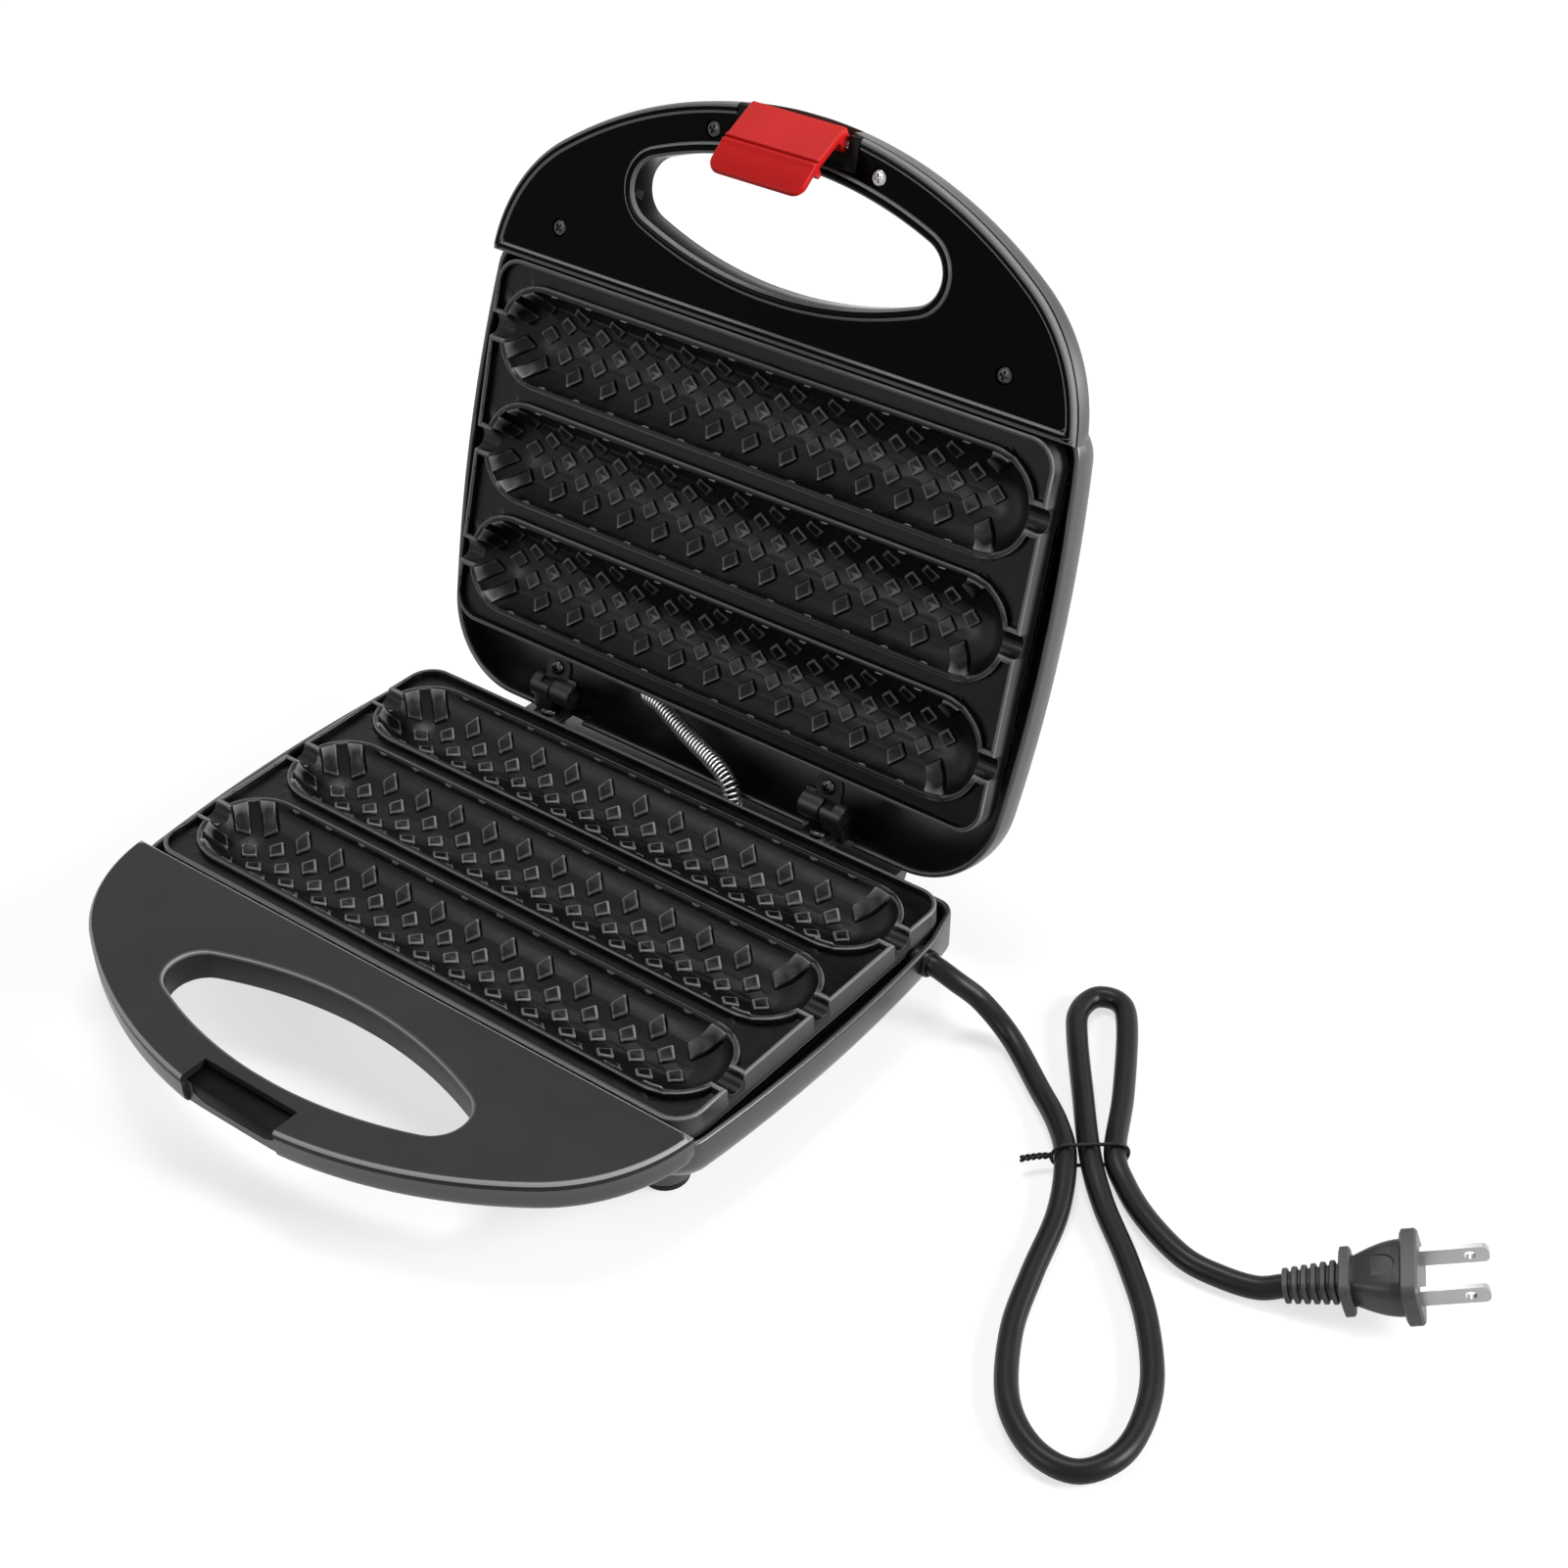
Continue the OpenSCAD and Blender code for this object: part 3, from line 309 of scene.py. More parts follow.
class Plan:
    """A plan drawing: lines that a triangulated face keeps."""

    def __init__(self, outline):
        self.verts = [Vector(p) for p in outline]
        n = len(outline)
        self.edges = [(k, (k + 1) % n) for k in range(n)]

    def line(self, pts, closed=True):
        first, n = len(self.verts), len(pts)
        self.verts += [Vector((float(p[0]), float(p[1]))) for p in pts]
        self.edges += [(first + k, first + (k + 1) % n) for k in range(n if closed else n - 1)]

    def triangles(self):
        flat, _, faces, origin, _, _ = delaunay_2d_cdt(self.verts, self.edges, [], 0, 1e-5)
        place = {i: k for k, own in enumerate(origin) for i in own}
        return np.array([v[:] for v in flat]), faces, place


def smooth_path(route, count):
    """A curve through the route's points, with a count of steps between two."""
    p = points(route)
    out = []
    for i in range(len(p) - 1):
        a, b, c, d = p[max(i - 1, 0)], p[i], p[i + 1], p[min(i + 2, len(p) - 1)]
        slope, bend, twist = c - a, 2 * a - 5 * b + 4 * c - d, 3 * b - a - 3 * c + d
        out += [0.5 * (2 * b + slope * t + bend * t ** 2 + twist * t ** 3) for t in np.arange(count) / count]
    return np.array(out + [p[-1]])


def unit(v):
    return v / np.linalg.norm(v, axis=-1, keepdims=True)


def carried(path, first):
    """Directions along a path, and sideways directions carried without twist."""
    t = unit(np.gradient(path, axis=0))
    n = np.zeros_like(t)
    side = np.asarray(first, float)
    for i in range(len(t)):
        side = unit(side - (side @ t[i]) * t[i])
        n[i] = side
    return t, n, np.cross(t, n)


def tube(path, r, sides, first=(0, 0, 1)):
    t, n, b = carried(path, first)
    a = np.linspace(0, 2 * math.pi, sides, endpoint=False)
    rows = [p + r * (np.cos(a)[:, None] * u + np.sin(a)[:, None] * w) for p, u, w in zip(path, n, b)]
    return loft(rows)


# Materials
HIGHLIGHT_POINTINESS = (0.508, 0.56)
HIGHLIGHT_SLOPE_STEEP = (0.1, 0.3)
HIGHLIGHT_SLOPE_FLAT = (0.99, 0.94)
NOISE_RANGE = (0.3, 0.7)
GRAIN_DETAIL = 3.0
GRAIN_HEIGHT = 0.0002
PATCH_DETAIL = 4.0
GLOSS_SPREAD = 0.05
COAT_ROUGH = 0.08


def set_sockets(node, values):
    for socket, value in values.items():
        node.inputs[socket].default_value = value


def new_node(tree, kind, sockets=None, **settings):
    """A new shader node with its settings and the numbers on its sockets."""
    node = tree.nodes.new(kind)
    for key, value in settings.items():
        setattr(node, key, value)
    set_sockets(node, sockets or {})
    return node


def ramp_of(tree, value, start, full, low=0.0, high=1.0):
    spans = {"From Min": start, "From Max": full, "To Min": low, "To Max": high}
    ranged = new_node(tree, "ShaderNodeMapRange", spans)
    tree.links.new(value, ranged.inputs["Value"])
    return ranged.outputs["Result"]


def math_of(tree, operation, *values):
    node = new_node(tree, "ShaderNodeMath", operation=operation)
    for value, socket in zip(values, node.inputs):
        tree.links.new(value, socket)
    return node.outputs[0]


def highlight_share(tree, panel):
    """How much of the painted highlight a spot takes: by standing out as an edge, or by the slope of its face
    to a panel's axis.
    """
    shape = new_node(tree, "ShaderNodeNewGeometry")
    if panel is None:
        return ramp_of(tree, shape.outputs["Pointiness"], *HIGHLIGHT_POINTINESS)
    own = new_node(tree, "ShaderNodeVectorTransform", vector_type="NORMAL", convert_from="WORLD",
                   convert_to="OBJECT")
    tree.links.new(shape.outputs["True Normal"], own.inputs["Vector"])
    facing = new_node(tree, "ShaderNodeVectorMath", {1: panel}, operation="DOT_PRODUCT")
    tree.links.new(own.outputs["Vector"], facing.inputs[0])
    amount = math_of(tree, "ABSOLUTE", facing.outputs["Value"])
    return math_of(tree, "MULTIPLY", ramp_of(tree, amount, *HIGHLIGHT_SLOPE_STEEP), ramp_of(tree, amount, *HIGHLIGHT_SLOPE_FLAT))


def material(name, colour, rough, spec=0.5, metal=0.0, grain=1800.0, bump=0.15, vary=0.12, patches=45.0,
             coat=0.0, edge=None, panel=None):
    """A moulded or coated surface: fine grain, soft patches in colour and gloss, and a painted highlight:
    edges lightened in colour towards the grey given as edge.
    """
    mat = bpy.data.materials.new(name)
    mat.use_nodes = True
    tree = mat.node_tree
    link = tree.links.new
    shader = tree.nodes["Principled BSDF"]
    set_sockets(shader, {"Metallic": metal, "Specular IOR Level": spec, "Coat Weight": coat,
                         "Coat Roughness": COAT_ROUGH})
    coords = new_node(tree, "ShaderNodeTexCoord")
    fine = new_node(tree, "ShaderNodeTexNoise", {"Scale": grain, "Detail": GRAIN_DETAIL})
    broad = new_node(tree, "ShaderNodeTexNoise", {"Scale": patches, "Detail": PATCH_DETAIL})
    for noise in (fine, broad):
        link(coords.outputs["Object"], noise.inputs["Vector"])
    tint = new_node(tree, "ShaderNodeValToRGB")
    for stop, at, share in zip(tint.color_ramp.elements, NOISE_RANGE, (1 - vary, 1 + vary)):
        stop.position = at
        stop.color = [min(c * share, 1) for c in colour] + [1]
    link(broad.outputs["Fac"], tint.inputs["Fac"])
    shown = tint.outputs["Color"]
    # Painted highlight: edges lightened in base colour where light would catch them
    if edge is not None:
        painted_highlight = new_node(tree, "ShaderNodeMix", data_type="RGBA")
        set_sockets(painted_highlight, {"B": (edge, edge, edge, 1)})
        link(highlight_share(tree, panel), painted_highlight.inputs["Factor"])
        link(shown, painted_highlight.inputs["A"])
        shown = painted_highlight.outputs["Result"]
    link(shown, shader.inputs["Base Color"])
    low, high = max(rough - GLOSS_SPREAD, 0.02), min(rough + GLOSS_SPREAD, 1.0)
    link(ramp_of(tree, broad.outputs["Fac"], *NOISE_RANGE, low, high), shader.inputs["Roughness"])
    relief = new_node(tree, "ShaderNodeBump", {"Strength": bump, "Distance": GRAIN_HEIGHT})
    link(fine.outputs["Fac"], relief.inputs["Height"])
    link(relief.outputs["Normal"], shader.inputs["Normal"])
    return mat


BASE_AXIS = (0.0, 0.0, 1.0)
LID_AXIS = tuple(unit(lid_up((0, 0, 1))[0] - lid_up((0, 0, 0))[0]))
# edge is the grey of each look's painted highlight on edges; with panel, the highlighted faces are picked by
# their slope to that axis instead of by pointiness
MAT = {
    "housing_plastic": material("housing_satin", (0.008, 0.008, 0.0085), 0.32, spec=0.75, grain=2600,
                                bump=0.1, edge=0.03),
    "base_cover_plastic": material("cover_satin", (0.017, 0.017, 0.018), 0.4, spec=0.17, grain=2600,
                                   edge=0.3, panel=BASE_AXIS),
    "lid_cover_plastic": material("cover_gloss", (0.001, 0.001, 0.0012), 0.1, spec=0.035, grain=300,
                                  bump=0.01, edge=0.22, panel=LID_AXIS),
    "nonstick": material("nonstick_coat", (0.002, 0.002, 0.0022), 0.32, spec=0.17, grain=2200, bump=0.3,
                         vary=0.3, patches=160, edge=0.24),
    # pocket: painted shade, a darker and duller look for the latch recesses
    "pocket": material("recess_painted_shade", (0.003, 0.003, 0.003), 0.45, spec=0.06, grain=2400, bump=0.1),
    "hinge_metal": material("hinge_black", (0.014, 0.014, 0.0145), 0.36, spec=0.25, grain=2400),
    "screw_steel": material("screw_zinc", (0.4, 0.4, 0.41), 0.3, metal=1.0, grain=900, bump=0.05),
    "dark_screw": material("screw_dark", (0.05, 0.05, 0.05), 0.3, metal=1.0, grain=900, bump=0.05),
    "conduit_steel": material("conduit_bright", (0.8, 0.8, 0.81), 0.34, metal=1.0, grain=1500, bump=0.04),
    "wire_sleeve": material("sleeve_dark", (0.012, 0.012, 0.012), 0.6, spec=0.15, grain=1500),
    "cord_pvc": material("cord_pvc", (0.004, 0.004, 0.0042), 0.36, spec=0.2, grain=2200, bump=0.12),
    "plug_plastic": material("plug_grey", (0.016, 0.016, 0.017), 0.4, spec=0.3, grain=2200, edge=0.06),
    "nickel": material("blade_nickel", (0.36, 0.355, 0.35), 0.42, metal=1.0, grain=700, bump=0.05),
    "foot_rubber": material("foot_rubber", (0.008, 0.008, 0.008), 0.7, spec=0.2, grain=1500, bump=0.3),
    "latch_red": material("latch_red", (0.54, 0.011, 0.01), 0.34, spec=0.13, grain=2000, bump=0.06,
                          vary=0.05),
    "heater_steel": material("heater_sheath", (0.3, 0.28, 0.26), 0.45, metal=1.0, grain=1200, bump=0.2,
                             vary=0.3),
    "sheet_aluminium": material("reflector_sheet", (0.75, 0.75, 0.76), 0.28, metal=1.0, grain=700, bump=0.05),
    "ceramic": material("insulator", (0.62, 0.58, 0.5), 0.6, grain=1400),
    "red_lens": material("lens_red", (0.55, 0.012, 0.01), 0.1, grain=400, bump=0.02, coat=0.5),
    "green_lens": material("lens_green", (0.02, 0.34, 0.05), 0.1, grain=400, bump=0.02, coat=0.5),
    "lamp_glass": material("lamp_glass", (0.85, 0.75, 0.55), 0.12, grain=500, bump=0.02),
}

# Camera where the photograph was taken
AZIMUTH, ELEVATION, ROLL = math.radians(39.92), math.radians(36.34), math.radians(-2.36)
CAMERA_AT = (493.04, -472.77, 528.15)
FOCAL_SHARE = 2885.76 / 1601.0
SENSOR = 36.0
FAR_CLIP = 20.0
look = Vector((-math.sin(AZIMUTH) * math.cos(ELEVATION), math.cos(AZIMUTH) * math.cos(ELEVATION),
               -math.sin(ELEVATION)))
right = Vector((math.cos(AZIMUTH), math.sin(AZIMUTH), 0.0))
right = right * math.cos(ROLL) + right.cross(look) * math.sin(ROLL)
camera = in_scene("camera", bpy.data.cameras.new("camera"))
camera.data.sensor_width = SENSOR
camera.data.lens = SENSOR * FOCAL_SHARE
camera.data.clip_end = FAR_CLIP
axes = Matrix((right, right.cross(look), -look)).transposed().to_4x4()
camera.matrix_world = Matrix.Translation(Vector(base_up(CAMERA_AT)[0])) @ axes
bpy.context.scene.camera = camera

# Lead: out of the base, along the table through the tie twice, to the plug
plug_axis = np.array(Matrix.Rotation(PLUG_TURN[2], 3, "Z") @ Matrix.Rotation(PLUG_TURN[1], 3, "Y"))[:, 0]
ROUTE = [
    (EXIT[0] - 4, EXIT[1], EXIT[2]), (EXIT[0], EXIT[1], EXIT[2]), (EXIT[0] + 4, EXIT[1], EXIT[2]),
    (EXIT[0] + 10, 44.5, EXIT[2] - 3.5), (130, 48, LIE + 8), (142, 46, LIE + 1.5), (159.5, 34.5, LIE),
    (173, 24.5, LIE + 0.5), (183, 13.5, TIED), (192.5, -4.5, LIE), (199.5, -27, LIE), (207, -47.5, LIE),
    (219.5, -67, LIE), (234, -76.5, LIE), (247, -75.5, LIE), (252.5, -62.5, LIE), (247, -42.5, LIE),
    (233.5, -23.5, LIE), (218, -8.5, LIE), (200.5, 6, LIE), (187.5, 19, TIED), (171.5, 39.5, LIE),
    (156.5, 59, LIE), (150.5, 69, LIE), (151, 77.5, LIE), (158, 79.5, LIE), (165.5, 72, LIE), (181, 46, LIE),
    (192.5, 24, TIED), (201, 16, LIE), (213.5, 8, LIE), (229, 2, LIE), (241, 2, LIE),
    tuple(np.array(PLUG_POS) - 7 * plug_axis), PLUG_POS, tuple(np.array(PLUG_POS) + 5 * plug_axis),
]
lead_path = base_up(smooth_path(ROUTE, 8))
lead_curve = bpy.data.curves.new("power_lead", "CURVE")
lead_curve.dimensions = "3D"
lead_curve.bevel_depth = CORD_R * MM
lead_curve.bevel_resolution = 6
lead_curve.use_fill_caps = True
spline = lead_curve.splines.new("POLY")
spline.points.add(len(lead_path) - 1)
spline.points.foreach_set("co", np.column_stack([lead_path, np.ones(len(lead_path))]).ravel())
spline.use_smooth = True
lead = in_scene("power_lead", lead_curve)
lead_curve.materials.append(MAT["cord_pvc"])
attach(lead, "base")
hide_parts("power_cord")

# Tie: a thin wire round three strands, its ends twisted together
TIE_AT = np.array((187.5, 19.0, TIED))
TIE_HEADING = math.radians(38.0)
TIE_R = 0.55
TIE_SPAN = 7.0
TIE_LEAN = 0.55
TIE_LOOP = CORD_R + TIE_R + 0.05
TAIL_R = 0.5
TAIL_LEN = 9.0
TAIL_FROM = 0.4 - TIE_SPAN - TIE_LOOP
TAIL_DRIFT = 1.5
TAIL_RISE = 0.4
TAIL_TWIST = 5.5 * math.pi


def tie_place(p):
    p = points(p)
    return base_up(np.stack([*spun(p[:, 0], p[:, 1], TIE_HEADING), p[:, 2]], 1) + TIE_AT)


tie_line = np.concatenate([arc(s * TIE_SPAN, 0, TIE_LOOP, a * QUARTER, (a + 2) * QUARTER, 12)
                           for s, a in ((1, -1), (-1, 1))])
wire = TIE_R * circle(0, 0, 1, 8)
tie_rows = []
for k, (x, z) in enumerate(tie_line):
    ahead = tie_line[(k + 1) % len(tie_line)] - tie_line[k - 1]
    out = np.array((ahead[1], -ahead[0])) / np.linalg.norm(ahead)
    lean = TIE_LEAN * math.sin(2 * math.pi * k / len(tie_line))
    tie_rows.append(np.column_stack([x + wire[:, 0] * out[0], lean + wire[:, 1], z + wire[:, 0] * out[1]]))
tie_parts = [loft(tie_rows, ring=True)]
tail = np.linspace(0, 1, 40)
for phase in (0.0, math.pi):
    swing = phase + tail * TAIL_TWIST
    strand = np.column_stack([TAIL_FROM - TAIL_LEN * tail, TIE_LEAN * np.sin(swing) - TAIL_DRIFT * tail ** 2,
                              TIE_LEAN * np.cos(swing) + TAIL_RISE * tail])
    tie_parts.append(tube(strand, TAIL_R, 7))
tie = piece("lead_tie", join(tie_parts), tie_place, "base", "cord_pvc", ["cord_tie"], 60)

# Plug: ribbed relief, two flanges and a domed body with a shallow oval; a row is place, half sizes and corner
RELIEF = PLUG_LEN * 0.42
SMALL = PLUG_LEN * 0.51
BIG = PLUG_LEN * 0.87
RIBS = 6
RIB_STEPS = ((0.05, 0.25), (0.3, 0.0), (1.35, 0.0), (1.6, 0.25), (1.75, 0.75), (2.35, 0.75))
RIB_CORNER = 2.0
WAIST = np.array((5.8, 5.1, 2.6))
SWELL = np.array((3.7, 1.6, 1.2))
SMALL_FLANGE = [
    (RELIEF + 0.05, 6.9, 5.2, 2.0), (RELIEF + 0.5, 8.0, 6.2, 2.3), (SMALL - 0.5, 8.0, 6.2, 2.3),
    (SMALL, 7.4, 5.7, 2.0), (SMALL + 0.1, 5.8, 5.1, 2.4),
]
BIG_FLANGE = [
    (BIG, 10.4, 7.2, 2.6), (BIG + 0.6, 11.2, 8.0, 2.8), (PLUG_LEN - 0.6, 11.2, 8.0, 2.8),
    (PLUG_LEN, 10.6, 7.4, 2.4),
]
OVAL = rounded_rect(4.4, 3.3, 3.2, 6)
OVAL_MID = ((SMALL + BIG) / 2 + 0.8, 0.0)
OVAL_STEPS = ((0.92, 6.05), (1.0, 6.4), (1.0, 9.0))


def plug_row(x, hy, hz, r):
    return across(rounded_rect(hy, hz, min(r, hy - 0.1, hz - 0.1), 5), x)


plug_rows = [(0.0, 3.6, 3.5, 2.2)]
for k in range(RIBS):
    start, hy, hz = k * RELIEF / RIBS, 4 + 0.2 * k, 3.9 + 0.1 * k
    plug_rows += [(start + x, hy - shrink, hz - shrink, RIB_CORNER) for x, shrink in RIB_STEPS]
plug_rows += SMALL_FLANGE
for t in np.linspace(0, 1, 9):
    plug_rows.append((SMALL + 0.5 + (BIG - SMALL - 0.6) * t, *(WAIST + SWELL * math.sin(t * QUARTER))))
plug_mesh = loft([plug_row(*row) for row in plug_rows + BIG_FLANGE])
oval_tool = loft([level(OVAL * share + OVAL_MID, z) for share, z in OVAL_STEPS]) + (plug_at,)
plug_body = piece("plug_body", plug_mesh, plug_at, "base", "plug_plastic", ["plug"],
                  cutters=[oval_tool])

BLADE_HALF_W = 3.15
BLADE_HALF_T = 0.75
BLADE_ROOT = PLUG_LEN - 4.0
BLADE_TIP = PLUG_LEN + BLADE_LEN
BLADE_CORNER = ((1.4, 0.0), (0.4, 0.7), (0.0, 1.9))
BLADE_HOLE = (BLADE_TIP - 5.0, 0.0, 1.6, 24)


def blade(y):
    """One blade: a strip with a rounded end and a hole."""
    low = [(BLADE_ROOT, -BLADE_HALF_W)]
    low += [(BLADE_TIP - back, rise - BLADE_HALF_W) for back, rise in BLADE_CORNER]
    outline = low + [(x, -z) for x, z in low[::-1]]
    plan = Plan(outline)
    plan.line(circle(*BLADE_HOLE))
    flat, _, faces, _, _, _ = delaunay_2d_cdt(plan.verts, plan.edges, [], 0, 1e-6)
    keep = [f for f in faces if min(f) < len(outline)]
    m = len(flat)
    verts = [(p.x, y + s * BLADE_HALF_T, p.y) for s in (-1, 1) for p in flat]
    walls = [(a, b, b + m, a + m) for a, b in plan.edges]
    return verts, keep + [tuple(i + m for i in f) for f in keep] + walls


blade_pair = join([blade(s * BLADE_GAP / 2) for s in (-1, 1)])
blades = piece("plug_blade_pair", blade_pair, plug_at, "base", "nickel", ["plug_blades"])

# Bushing where the lead leaves the wall
BUSH = [(-3.0, 3.5), (-3.0, 4.2), (1.6, 4.2), (2.1, 4.1), (2.4, 3.8), (2.4, 3.5), (2.1, 3.4)]
piece("lead_bushing", turned(BUSH, 40, "x", EXIT), base_up, "base", "cord_pvc", ["cord_bushing"])


# Cooking plates: rims, ridges, stick notches and lattices of raised pads
PAD_PITCH = 14.64
PAD_SHIFT = -2.7
PAD_ROW = 4.9
PAD_LIMITS = {0: (-92, 87, 200), 1: (-99, 80, 95), 2: (-92, 87, 80), 3: (-85, 80, 200)}
PAD_CORE = (2.6, 2.35)
PAD_EDGE = 0.9
PAD_H = 0.95
TICK_ROW = 15.0
TICK_CORE = (1.1, 0.1)
TICK_EDGE = 0.3
TICK_H = 0.45
PAD_STEPS = ((0.13, 1.0), (0.47, 0.86), (0.76, 0.4), (1.0, 0.0))
PAD_REACH = 4.6
PAD_FACET = (0.1, 1, 0.72)
LIP = 0.25
RIDGE_OUT = 17.15
CAVITY_LIP = ((14.9, 0.0), (CAVITY_HALF, 0.12), (CAVITY_HALF + LIP, 0.0))
STICK_LIP = ((3.65, 0.0), (STICK_R, 0.15), (STICK_R + LIP, 0.0))
RIM_STEPS = ((0.0, 0.4), (0.3, 0.06), (0.55, 0.0), (1.0, 0.0), (1.25, 0.1), (1.45, 0.5), (1.65, FLANGE_DROP))
RIDGE_STEPS = ((CAVITY_HALF + LIP, 0.0), (15.98, 0.0), (16.5, 0.0), (16.75, 0.08), (16.95, 0.45),
               (RIDGE_OUT, FLANGE_DROP))
LAND_STEPS = ((STICK_R + LIP, 0.0), (5.1, 0.0), (5.35, 0.08), (5.55, 0.45), (5.75, FLANGE_DROP))
LAND_OVERLAP = 0.4
LAND_END = HALF_LEN - 1.0
CAVITY_RINGS = (2.6, 5.2, 7.7, 10.0, 12.0, 13.5, 14.4, 14.9, CAVITY_HALF, CAVITY_HALF + LIP)
CHANNEL_LINES = (0.0, 1.3, 2.4, 3.2, 3.65, STICK_R, STICK_R + LIP)
BACK_RINGS = (4.0, 8.0, 11.0, 13.5, 15.27)
SKIRT_T = 1.4


Pad = namedtuple("Pad", "x y run_x run_y core edge height")


def lattice():
    """The pads of one cavity: lozenges, end ones that run out along the wall, and ticks under the ridge."""
    pads = []
    for j in range(-3, 4):
        left, right_end, bar_from = PAD_LIMITS[abs(j)]
        for k in range(-8, 9):
            x, y = PAD_SHIFT + (k + j % 2 / 2) * PAD_PITCH, j * PAD_ROW
            if not left < x < right_end:
                continue
            if abs(j) == 3:
                pads.append(Pad(x, math.copysign(TICK_ROW, y), 0, 0, TICK_CORE, TICK_EDGE, TICK_H))
            elif abs(x) > bar_from:
                pads.append(Pad(x, y, math.copysign(1, x), math.copysign(1, y), PAD_CORE, PAD_EDGE, PAD_H))
            else:
                pads.append(Pad(x, y, 0, 0, PAD_CORE, PAD_EDGE, PAD_H))
    return pads


PADS = lattice()


def pad_distance(x, y, pad):
    """Distance outside a pad's core."""
    u, v = x - pad.x, y - pad.y
    a, b = pad.core
    if pad.run_x:
        u, v = u * pad.run_x, v * pad.run_y
        ahead = np.clip(u / a + v / b - 1, 0, PAD_REACH)
        u, v = u - ahead * a / 2, v - ahead * b / 2
    u, v = np.abs(u), np.abs(v)
    t = np.clip(((u - a) * -a + v * b) / (a * a + b * b), 0, 1)
    apart = np.hypot(u - (a - t * a), v - t * b)
    return np.where(u / a + v / b <= 1, 0.0, apart)


def pad_outline(pad, r, n=3, shrink=1.0):
    """The line at a distance round a pad's core, or round a core drawn in."""
    a, b = pad.core[0] * shrink, pad.core[1] * shrink
    far = PAD_REACH / 2 if pad.run_x else 0.0
    corners = np.array([(a + far * a, far * b), (far * a, b + far * b), (-a, 0), (0, -b)])
    out = []
    for k in range(4):
        before = corners[k] - corners[k - 1]
        after = corners[(k + 1) % 4] - corners[k]
        a0 = math.atan2(before[1], before[0]) - math.pi / 2
        a1 = math.atan2(after[1], after[0]) - math.pi / 2
        a1 += 2 * math.pi if a1 < a0 else 0
        out.append(arc(corners[k][0], corners[k][1], r, a0, a1, n))
    out = np.concatenate(out)
    return out * [pad.run_x or 1, pad.run_y or 1] + [pad.x, pad.y]


def rim_distance(x, y):
    qx = np.abs(x) - (HALF_LEN - PLATE_R)
    qy = np.abs(y) - (HALF_W - PLATE_R)
    return PLATE_R - box_distance(qx, qy)


def steps(d, table):
    return np.interp(d, [s[0] for s in table], [s[1] for s in table])


def from_spine(x, dy):
    return np.hypot(np.maximum(np.abs(x) - CAVITY_END, 0), dy)


def cooking_depth(x, y):
    """Depth of the cooking face below the parting plane."""
    top = np.minimum(FLANGE_DROP, steps(rim_distance(x, y), RIM_STEPS))
    carve = np.zeros_like(x)
    for row in CAVITY_ROWS:
        dy = y - row
        rho = from_spine(x, dy)
        top = np.minimum(top, steps(rho, RIDGE_STEPS))
        beyond = np.abs(x) > CAVITY_END
        top = np.where(beyond, np.minimum(top, steps(np.abs(dy), LAND_STEPS)), top)
        near = rho < CAVITY_HALF + LIP + 0.05
        height = np.zeros_like(x)
        spot = np.nonzero(near)[0]
        for pad in PADS:
            d = pad_distance(x[spot], dy[spot], pad)
            height[spot] = np.maximum(height[spot], pad.height * steps(d / pad.edge, PAD_STEPS))
        inside = np.sqrt(np.maximum((CAVITY_R - height) ** 2 - rho ** 2, 0)) - CAVITY_UP
        soft = steps(rho, CAVITY_LIP)
        carve = np.maximum(carve, np.where(near, np.maximum(inside, soft), 0))
        channel = np.sqrt(np.maximum(STICK_R ** 2 - dy ** 2, 0))
        channel = np.maximum(channel, steps(np.abs(dy), STICK_LIP))
        carve = np.maximum(carve, np.where(beyond & (np.abs(dy) < STICK_R + LIP), channel, 0))
    return np.maximum(top, carve)


def back_depth(x, y):
    """Depth of the plate's hidden face."""
    depth = np.full_like(x, FLANGE_DROP + FLANGE_T)
    for row in CAVITY_ROWS:
        shell = np.sqrt(np.maximum((CAVITY_R + PLATE_WALL) ** 2 - from_spine(x, y - row) ** 2, 0)) - CAVITY_UP
        depth = np.maximum(depth, shell)
    return depth


def capsule_line(row, r, n=20):
    ends = ((CAVITY_END, -QUARTER), (-CAVITY_END, QUARTER))
    return np.concatenate([arc(x, row, r, a, a + math.pi, n) for x, a in ends])


def drawn_in(outline, inset):
    core = np.clip(outline, [PLATE_R - HALF_LEN, PLATE_R - HALF_W], [HALF_LEN - PLATE_R, HALF_W - PLATE_R])
    return core + (outline - core) * (PLATE_R - inset) / PLATE_R


